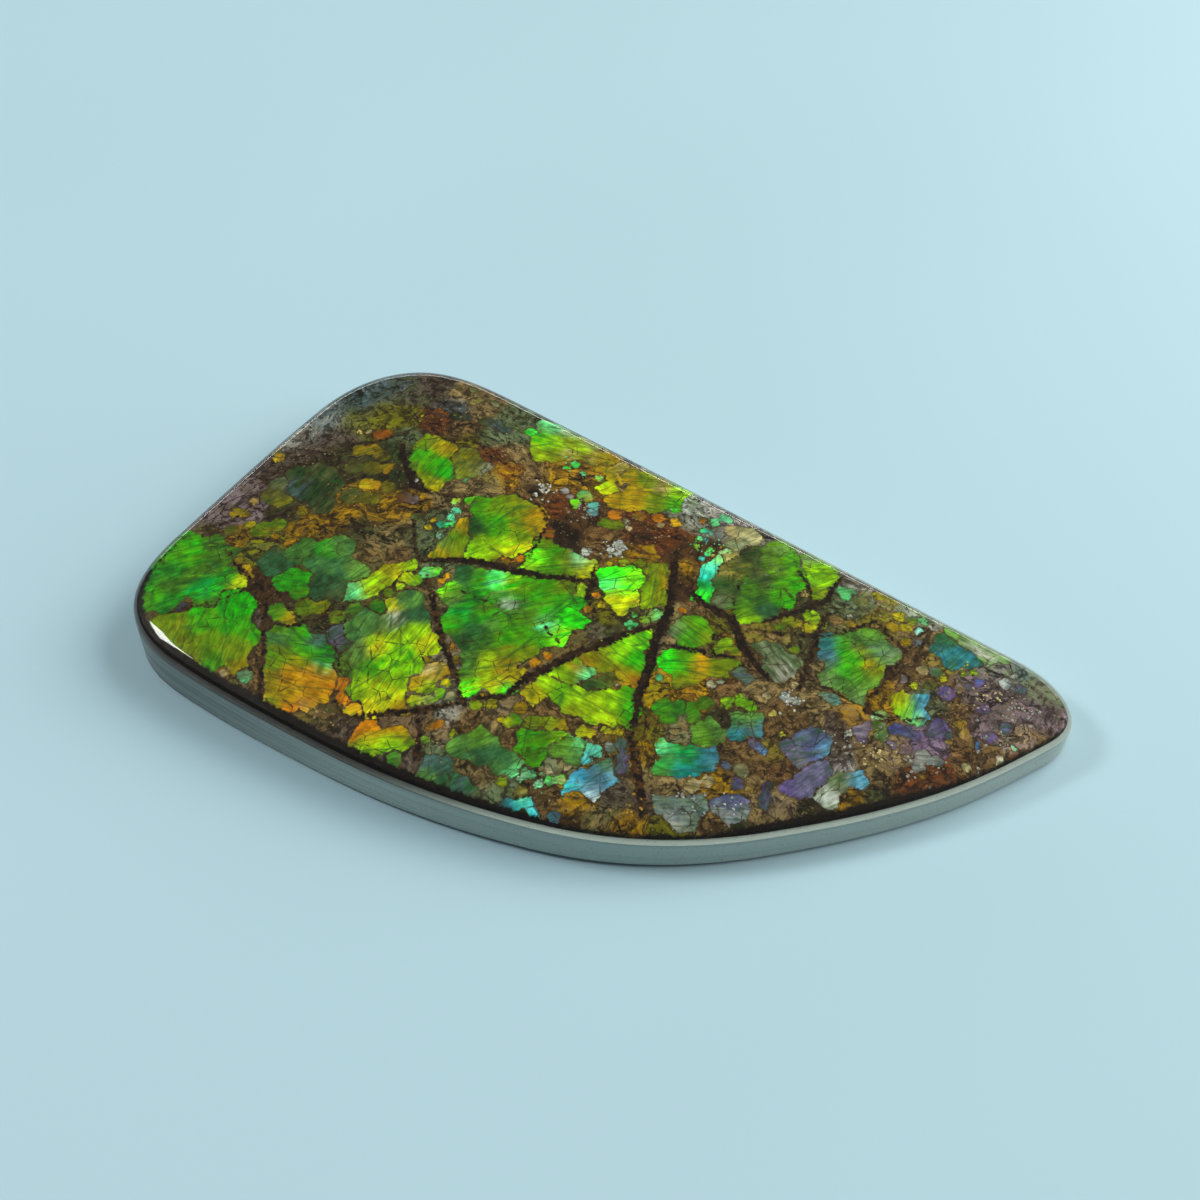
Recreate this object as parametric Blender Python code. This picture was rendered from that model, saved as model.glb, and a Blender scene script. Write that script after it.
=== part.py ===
"""A polished free-form plate of ammolite: a shale base, a nacre layer and a clear domed cap.

Metres, +Z up. The origin is on the surface that the plate rests on, under the middle of its
outline. +X runs along the long straight side towards the narrow tip.
"""

import math

import bmesh
import bpy
from mathutils import Vector

MM = 0.001

# Driving dimensions
WALL_HEIGHT_BROAD_END = 3.2 * MM
WALL_HEIGHT_TIP = 1.7 * MM
FOOT_INSET = 0.3 * MM
FOOT_HEIGHT = 0.35 * MM
WALL_LEAN = 0.08 * MM
BOND_GAP = 0.3 * MM
SHOULDER_RUN = 1.3 * MM
SHOULDER_RISE = 0.95 * MM
DOME_RISE = 1.4 * MM
CAP_THICKNESS = 0.55 * MM
DOME_CENTRE = Vector((-4.0 * MM, 1.0 * MM))

# The outline seen from above, anticlockwise from the long straight side. Each point has its place
# in millimetres and the heading of the outline there in degrees from +X.
LONG_SIDE_TIP_END = (20.9, 14.8, 180)
LONG_SIDE_START = (-15.5, 14.6, 181)
TOP_CORNER = (-23.3, 12.6, 222)
SHORT_SIDE_UPPER = (-26.1, 6.0, 267)
SHORT_SIDE_LOWER = (-26.3, -7.3, 270)
BOTTOM_CORNER = (-24.5, -13.6, 316)
BOTTOM_CORNER_END = (-19.8, -15.3, 358)
BELLY = (-9.0, -14.95, 4)
SWEEP_LOWER = (4.7, -12.15, 19)
SWEEP_MIDDLE = (16.2, -4.7, 46)
SWEEP_UPPER = (22.35, 2.6, 55)
TIP_LOWER = (26.1, 9.5, 66)
TIP_OUTER = (26.8, 12.1, 97)
TIP_UPPER = (24.9, 14.2, 155)
OUTLINE = (
    LONG_SIDE_TIP_END, LONG_SIDE_START, TOP_CORNER, SHORT_SIDE_UPPER, SHORT_SIDE_LOWER,
    BOTTOM_CORNER, BOTTOM_CORNER_END, BELLY, SWEEP_LOWER, SWEEP_MIDDLE, SWEEP_UPPER, TIP_LOWER,
    TIP_OUTER, TIP_UPPER,
)
HANDLE_REACH = 0.35
POINTS_PER_SPAN = 6

OUTER_SHOULDER_RINGS = 5
INNER_SHOULDER_RINGS = 3
DOME_RINGS = 5
INNERMOST_RING = 0.12
SHARP_ANGLE = 0.6


def clear_scene():
    for obj in list(bpy.data.objects):
        bpy.data.objects.remove(obj, do_unlink=True)


def make_collection(name):
    collection = bpy.data.collections.new(name)
    bpy.context.scene.collection.children.link(collection)
    return collection


def principled(name, colour, roughness, metallic=0.0):
    material = bpy.data.materials.new(name)
    material.use_nodes = True
    shader = material.node_tree.nodes["Principled BSDF"]
    shader.inputs["Base Color"].default_value = (*colour, 1.0)
    shader.inputs["Roughness"].default_value = roughness
    shader.inputs["Metallic"].default_value = metallic
    return material


def clear_quartz():
    material = principled("clear_quartz", (0.93, 0.96, 0.92), 0.05)
    shader = material.node_tree.nodes["Principled BSDF"]
    shader.inputs["Transmission Weight"].default_value = 1.0
    shader.inputs["IOR"].default_value = 1.5
    return material


def nacre():
    return principled("nacre", (0.16, 0.30, 0.03), 0.3)


def grey_shale():
    return principled("grey_shale", (0.16, 0.19, 0.19), 0.4)


def outline_guide(collection):
    """The outline as a closed Bezier curve that the pieces are measured from."""
    curve = bpy.data.curves.new("outline_guide", "CURVE")
    curve.dimensions = "2D"
    curve.fill_mode = "NONE"
    curve.resolution_u = POINTS_PER_SPAN
    curve.render_resolution_u = POINTS_PER_SPAN
    spline = curve.splines.new("BEZIER")
    spline.bezier_points.add(len(OUTLINE) - 1)
    spline.use_cyclic_u = True
    places = [Vector((x * MM, y * MM, 0.0)) for x, y, heading in OUTLINE]
    for index, point in enumerate(spline.bezier_points):
        heading = math.radians(OUTLINE[index][2])
        along = Vector((math.cos(heading), math.sin(heading), 0.0))
        place = places[index]
        before = (place - places[index - 1]).length
        after = (places[(index + 1) % len(places)] - place).length
        point.co = place
        point.handle_left = place - along * before * HANDLE_REACH
        point.handle_right = place + along * after * HANDLE_REACH
    guide = bpy.data.objects.new("outline_guide", curve)
    guide.hide_render = True
    guide.display_type = "WIRE"
    collection.objects.link(guide)
    return guide


def outline_points(guide):
    """The guide's points, moved so that the middle of their extents is at the origin."""
    evaluated = guide.evaluated_get(bpy.context.evaluated_depsgraph_get())
    points = [vertex.co.to_2d() for vertex in evaluated.to_mesh().vertices]
    evaluated.to_mesh_clear()
    middle = Vector([(min(axis) + max(axis)) / 2 for axis in zip(*points)])
    return [point - middle for point in points]


def inset(points, distance):
    """An anticlockwise outline moved into the plate by a distance."""
    moved = []
    for index, point in enumerate(points):
        along = points[(index + 1) % len(points)] - points[index - 1]
        inward = Vector((-along.y, along.x)).normalized()
        moved.append(point + inward * distance)
    return moved


def shrunk(points, factor):
    return [DOME_CENTRE + (point - DOME_CENTRE) * factor for point in points]


def level(points, height):
    return [Vector((point.x, point.y, height)) for point in points]


def wall_height(point):
    """The shale's top is flat, and slopes down from the broad end to the tip."""
    fraction = (point.x / MM - SHORT_SIDE_LOWER[0]) / (TIP_OUTER[0] - SHORT_SIDE_LOWER[0])
    return WALL_HEIGHT_BROAD_END + (WALL_HEIGHT_TIP - WALL_HEIGHT_BROAD_END) * fraction


def on_slope(points, heights):
    """The points at given heights over the sloping plane that the nacre and the cap start from."""
    return [
        Vector((point.x, point.y, wall_height(point) + BOND_GAP + height))
        for point, height in zip(points, heights)
    ]


def polished_height(rim, point, distance):
    """How high the polished top stands above the girdle at a distance in from the rim."""
    reach = (point - DOME_CENTRE).length / (rim - DOME_CENTRE).length
    away = 1 - min(distance / SHOULDER_RUN, 1.0)
    return SHOULDER_RISE * (1 - away**2) ** 0.5 + DOME_RISE * (1 - reach**2)


def domed_rings(outline, start, drop, shoulder_rings):
    """Rings from an inset of start over the shoulder to the middle, drop under the polished top."""
    sections = []
    for step in range(shoulder_rings + 1):
        distance = start + (SHOULDER_RUN - start) * (step / shoulder_rings) ** 2
        sections.append((inset(outline, distance), distance))
    edge = sections[-1][0]
    for step in range(1, DOME_RINGS + 1):
        factor = 1 - (1 - INNERMOST_RING) * step / DOME_RINGS
        sections.append((shrunk(edge, factor), SHOULDER_RUN))
    rings = []
    for points, distance in sections:
        heights = [polished_height(r, p, distance) - drop for r, p in zip(outline, points)]
        rings.append(on_slope(points, heights))
    return rings


def lofted(name, rings, material, collection):
    """A closed body through the rings, with its two ends filled to a middle point."""
    shape = bmesh.new()
    loops = [[shape.verts.new(point) for point in ring] for ring in rings]
    for lower, upper in zip(loops, loops[1:]):
        for index in range(len(lower)):
            following = (index + 1) % len(lower)
            shape.faces.new((lower[index], lower[following], upper[following], upper[index]))
    ends = [shape.faces.new(loops[0]), shape.faces.new(loops[-1])]
    bmesh.ops.poke(shape, faces=ends)
    bmesh.ops.recalc_face_normals(shape, faces=shape.faces)
    mesh = bpy.data.meshes.new(name)
    shape.to_mesh(mesh)
    shape.free()
    mesh.shade_smooth()
    mesh.set_sharp_from_angle(angle=SHARP_ANGLE)
    mesh.materials.append(material)
    piece = bpy.data.objects.new(name, mesh)
    collection.objects.link(piece)
    return piece


def shale_base(outline, collection):
    """The backing: a bevelled foot, an upright side and a flat, slightly sloping top."""
    foot = level(inset(outline, FOOT_INSET), 0.0)
    bevel = level(inset(outline, WALL_LEAN), FOOT_HEIGHT)
    top = on_slope(outline, [-BOND_GAP] * len(outline))
    return lofted("shale_base", [foot, bevel, top], grey_shale(), collection)


def ammolite_layer(outline, collection):
    """The nacre sheet: flat below and domed above, a bond's width inside the cap."""
    start = CAP_THICKNESS + BOND_GAP
    edge = on_slope(inset(outline, start), [0.0] * len(outline))
    crown = domed_rings(outline, start, start, INNER_SHOULDER_RINGS)
    return lofted("ammolite_layer", [edge] + crown, nacre(), collection)


def clear_cap(outline, collection):
    """The polished cap: a rounded shoulder and a low dome outside, hollow over the nacre."""
    mouth = on_slope(inset(outline, CAP_THICKNESS), [0.0] * len(outline))
    hollow = domed_rings(outline, CAP_THICKNESS, CAP_THICKNESS, INNER_SHOULDER_RINGS)
    outside = domed_rings(outline, 0.0, 0.0, OUTER_SHOULDER_RINGS)
    rings = hollow[::-1] + [mouth] + outside
    return lofted("clear_cap", rings, clear_quartz(), collection)


def main():
    clear_scene()
    pieces = make_collection("ammolite_specimen")
    guides = make_collection("guides")
    outline = outline_points(outline_guide(guides))
    shale_base(outline, pieces)
    ammolite_layer(outline, pieces)
    clear_cap(outline, pieces)


main()
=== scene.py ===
import math

import bmesh
import bpy
import numpy as np
from bpy.props import FloatProperty, FloatVectorProperty, IntProperty, PointerProperty
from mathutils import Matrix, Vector, noise
from mathutils.geometry import delaunay_2d_cdt


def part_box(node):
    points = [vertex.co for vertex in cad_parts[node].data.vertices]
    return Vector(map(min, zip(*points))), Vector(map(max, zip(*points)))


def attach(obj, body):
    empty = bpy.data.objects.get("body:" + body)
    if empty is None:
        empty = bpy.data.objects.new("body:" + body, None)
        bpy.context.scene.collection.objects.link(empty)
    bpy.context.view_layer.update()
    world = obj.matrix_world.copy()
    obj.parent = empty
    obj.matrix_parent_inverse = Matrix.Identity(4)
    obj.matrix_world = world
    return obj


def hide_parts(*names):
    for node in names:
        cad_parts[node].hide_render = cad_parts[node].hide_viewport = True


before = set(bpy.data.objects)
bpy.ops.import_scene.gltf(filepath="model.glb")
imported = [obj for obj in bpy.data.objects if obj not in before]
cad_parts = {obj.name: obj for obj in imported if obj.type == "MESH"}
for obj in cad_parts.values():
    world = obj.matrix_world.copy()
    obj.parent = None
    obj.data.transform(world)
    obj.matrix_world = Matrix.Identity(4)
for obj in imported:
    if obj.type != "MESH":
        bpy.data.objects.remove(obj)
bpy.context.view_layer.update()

bl_info = {
    "name": "Ammolite Specimen",
    "version": (1, 0, 0),
    "blender": (4, 5, 0),
    "location": "3D View > Sidebar > Ammolite",
    "description": "A polished plate of ammolite: shale backing, nacre mosaic and clear cap",
    "category": "Add Mesh",
}

MM = 0.001
BODY = "root"

# The outline from above, anticlockwise from the long straight side: the place of each point in
# millimetres, and the heading of the outline there in degrees from +X
OUTLINE = (
    (20.9, 14.8, 180), (-15.5, 14.6, 181), (-23.3, 12.6, 222), (-26.1, 6.0, 267),
    (-26.3, -7.3, 270), (-24.5, -13.6, 316), (-19.8, -15.3, 358), (-9.0, -14.95, 4),
    (4.7, -12.15, 19), (16.2, -4.7, 46), (22.35, 2.6, 55), (26.1, 9.5, 66),
    (26.8, 12.1, 97), (24.9, 14.2, 155),
)
HANDLE_REACH = 0.35
OUTLINE_RESOLUTION = 22
BROAD_END = -26.3
TIP_END = 26.8
DOME_CENTRE = np.array((-4.0, 1.0))

# The photograph's view, which the mosaic is laid out in as well
VIEW_TURN = math.radians(34.7)
VIEW_ELEVATION = math.radians(50.0)
VIEW_ANGLE = math.radians(32.0)
VIEW_DISTANCE = 134.13
VIEW_AIM = (-3.054, 5.936)

# The mosaic is read off on a level sheet, in millimetres right of and beyond the view's aim
SHEET_LEVEL = 3.6
SHEET_RAISE = 0.2

# The outline is fitted to this share of the frame's box, so that rounding can't carry it outside
FIT = 0.9998
CARRYING_STEPS = 6

# Sharp edges start at these angles, in radians
SHALE_SHARP = 0.5
NACRE_SHARP = 0.7
GRAIN_SHARP = 0.1
CAP_SHARP = 0.6

# Rings of the cap, and courses of the shale's side
HOLLOW_SHOULDER_RINGS = 6
POLISHED_SHOULDER_RINGS = 14
DOME_RINGS = 22
WALL_LAYERS = 14

# A fragment read off in this many places or more fills its cell up to its neighbours
LARGE_FRAGMENT = 4
LARGE_REACH = 0.7

# Borders are cut by this many neighbours, and points are measured in batches
NEIGHBOURS = 35
FAR_AWAY = 60.0
BATCH = 4000

# The polished top stays this far under the frame's, in millimetres
POLISH = 0.005

# The mosaic's relief, and how far it and the colours wander, in millimetres
EDGE_CALM = 0.8
TILT = 0.02
TILT_START = 0.35
SEAM_WIDTH = 0.22
VEIN_SLOPE = (-0.05, 0.12)
RELIEF_LIMITS = (-0.045, 0.03)
COLOUR_WANDER = 0.22
GROUND_WANDER = 0.35

# The noise's own seed, so that every run wanders the same way
WANDER_SEED = 7

# How softly a fragment's colours blend, and how much its small neighbours are browned
COLOUR_BLEND = 0.26
PEBBLE_DULLING = 0.28

# Grains are this flat, and keep this far from the rim, in millimetres
GRAIN_FLATNESS = 0.35
GRAIN_CLEARANCE = 1.3

# Strength of the surroundings, and the floor's reach in metres
SKY_STRENGTH = 0.14
FLOOR_REACH = 1.2

# Lights: name, place and size in metres, colour, and whether the polish reflects them
LIGHTS = (
    ("key", (0.16, 0.18, 0.17), (0.30, 0.30), (1.0, 0.98, 0.95), False),
    ("fill", (-0.30, -0.22, 0.20), (0.40, 0.40), (0.95, 0.98, 1.0), False),
    ("side", (-0.1755, -0.0874, 0.185), (0.068, 0.068), (1.0, 1.0, 1.0), True),
    ("rim", (-0.18, 0.30, 0.055), (0.60, 0.03), (0.95, 1.0, 1.0), True),
)

# Width of the nacre's black rim at places along the sheet, in millimetres: the dark edge, with a painted
# dark reflection of the shoulder on the near side
BLACK_EDGE_AND_REFLECTION = (
    (-30.0, 0.25), (-26.0, 0.35), (-20.0, 0.40), (-12.0, 0.35), (-6.0, 0.20), (-2.0, 0.05),
    (6.0, 0.0), (9.0, 0.25), (17.0, 0.30), (22.0, 0.05), (30.0, 0.0),
)
FAR_RIM = -0.3

# The line on the sheet that parts the near rim, which carries the painted dark reflection, from the far rim
RIM_PARTING = ((-28, -26, 0, 28), (-1.0, 2.0, -6.0, -12.0))

# Veins: width in millimetres, how brown they are, and their course over the sheet
VEIN_TABLE = """
0.6 0.1: -11 0.2, -8.5 0.2, -6.5 -0.2, -5 -0.7, -3.5 -1.1, -1 -1.4;
0.5 0.8: -10.6 -1, -10.3 -2.5, -9.9 -4.5, -9.4 -6.5, -8.9 -8, -8.2 -10.4;
0.62 0.2: -7.3 -10.6, -5.5 -10.3, -4.9 -9.6, -4.3 -8.9, -3.2 -8.3, -2 -7.4, -1 -6.9, 0 -6.5, 2 -5.4,
  3.5 -5;
0.75 0.1: 4.8 0.8, 4.6 -0.5, 4.4 -2, 4.3 -3.2, 4 -4.5, 3.7 -5.5, 3.3 -6.3, 3 -7.5, 2.7 -9, 2.2 -10.5,
  2.1 -12, 1.7 -13;
0.7 0.9: 1.7 -13, 2 -14.5, 2.2 -17, 2.4 -19;
0.45 0.5: -14.7 -11.9, -12.5 -11.6, -10.5 -11.4, -8.8 -10.9, -8 -10.6;
0.4 0.7: -23.3 1.2, -22.6 0, -21.5 -1.5, -20.5 -2.3, -20.4 -4, -20.3 -6, -20.2 -8, -20.3 -10, -19.8 -11;
0.14 0.3: -26.9 -4.3, -25.6 -3.7, -24.5 -3.5, -23 -2.9, -21.5 -1.9;
0.22 0.2: -20 -2.2, -19 -3.5, -18 -4.6, -17 -4.4, -16.4 -3.6, -16.1 -2.8, -17.8 -2.8;
0.3 0.2: -19.8 -4.9, -18.5 -5, -18 -4.7;
0.2 0.4: -25.5 2.8, -24 2.6, -23 1.8, -22.2 2.8;
0.2 0.4: -21.9 2, -20.5 1.9, -19.7 1.6;
0.15 0.4: -25 2.9, -23.5 3.4, -22.9 4;
0.15 0.4: -22.7 5, -21.8 4.5, -21 4.2;
0.18 0.3: -22.6 5.2, -21.8 6.2, -21.4 6.9, -21.9 7.3, -20.5 7.8, -19.8 8.4, -19 8.6;
0.2 0.2: -18 10.1, -17 9.8, -16 10.3, -14.5 10.4, -12.5 11.5;
0.2 0.3: -17.8 3.2, -16 3, -14 3.1, -12.5 3.6;
0.25 0.3: -11.8 3.5, -11.5 1, -11 0;
0.2 0.2: -9.6 5.3, -10.5 4.6, -11.2 4.2, -13 4.5;
0.25 0.2: -8.6 5.6, -9.5 5.6, -11 6;
0.6 0: -12.9 10.5, -12.8 9, -12.3 8, -12 6.5, -11 6;
0.18 0.2: -11.2 16, -11 14.5, -10.2 13.8, -9.2 13;
0.2 0.2: -11.2 12, -10.5 11, -9.8 10.5, -9 10.7, -8 10.4, -7 9, -6 8.5;
0.2 0.3: -5.5 5.9, -4 5, -3.4 4, -3.3 3, -3.8 2, -4.5 0.2;
0.4 0.1: -0.3 0, -0.4 -1.5, -0.8 -2.8, -0.4 -4;
0.7 0.1: 5.3 -2.3, 6.3 -3.3, 7 -3.8, 8 -4.5, 8.3 -5.5, 8.6 -6.6, 9.3 -8, 10 -9;
0.35 0.1: 3.6 -6.4, 5 -6.7, 6.5 -7.1, 8 -7.4;
0.12 0.2: 7 -5.5, 6.5 -7;
0.5 0: 10 -4.7, 11.5 -4.1, 12.3 -3.9, 13.2 -3.4, 14 -3, 14.4 -2.2, 15 -1.2;
0.25 0.2: 9 -5.3, 10.5 -5.6, 12 -5.8, 13 -5.9, 14.5 -5.7, 16 -5.1, 17 -4.6, 17.5 -5.6, 18.3 -6.8,
  19 -7.7, 19.4 -7, 20 -6, 20.6 -4.8;
0.45 0.3: 14 -4, 13.3 -5.5, 12.9 -6.7, 12.4 -7.9, 12.1 -9, 11.8 -10;
0.3 0.5: 18.3 -7.5, 17.2 -9.2, 16 -10.5, 15.7 -11.5, 17 -12.2, 19 -12.1;
0.15 0.2: 12.3 -0.2, 12.8 -1.5, 13.1 -3;
0.15 0.2: 12.2 -9, 13.5 -9.8, 15.3 -11;
0.4 0.5: -10.7 -12, -10.6 -13, -10.7 -15;
0.2 0.3: -15.8 -6.8, -15.4 -8.6;
0.2 0.3: -15.8 -10.3, -15.2 -11.8;
0.1 0.2: -9 -2, -6 -3.5;
0.1 0.2: -3.5 -4.8, -2.5 -6.4;
0.1 0.2: 8.8 -1.3, 8.3 -2.5, 8.1 -3.8
"""

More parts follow.
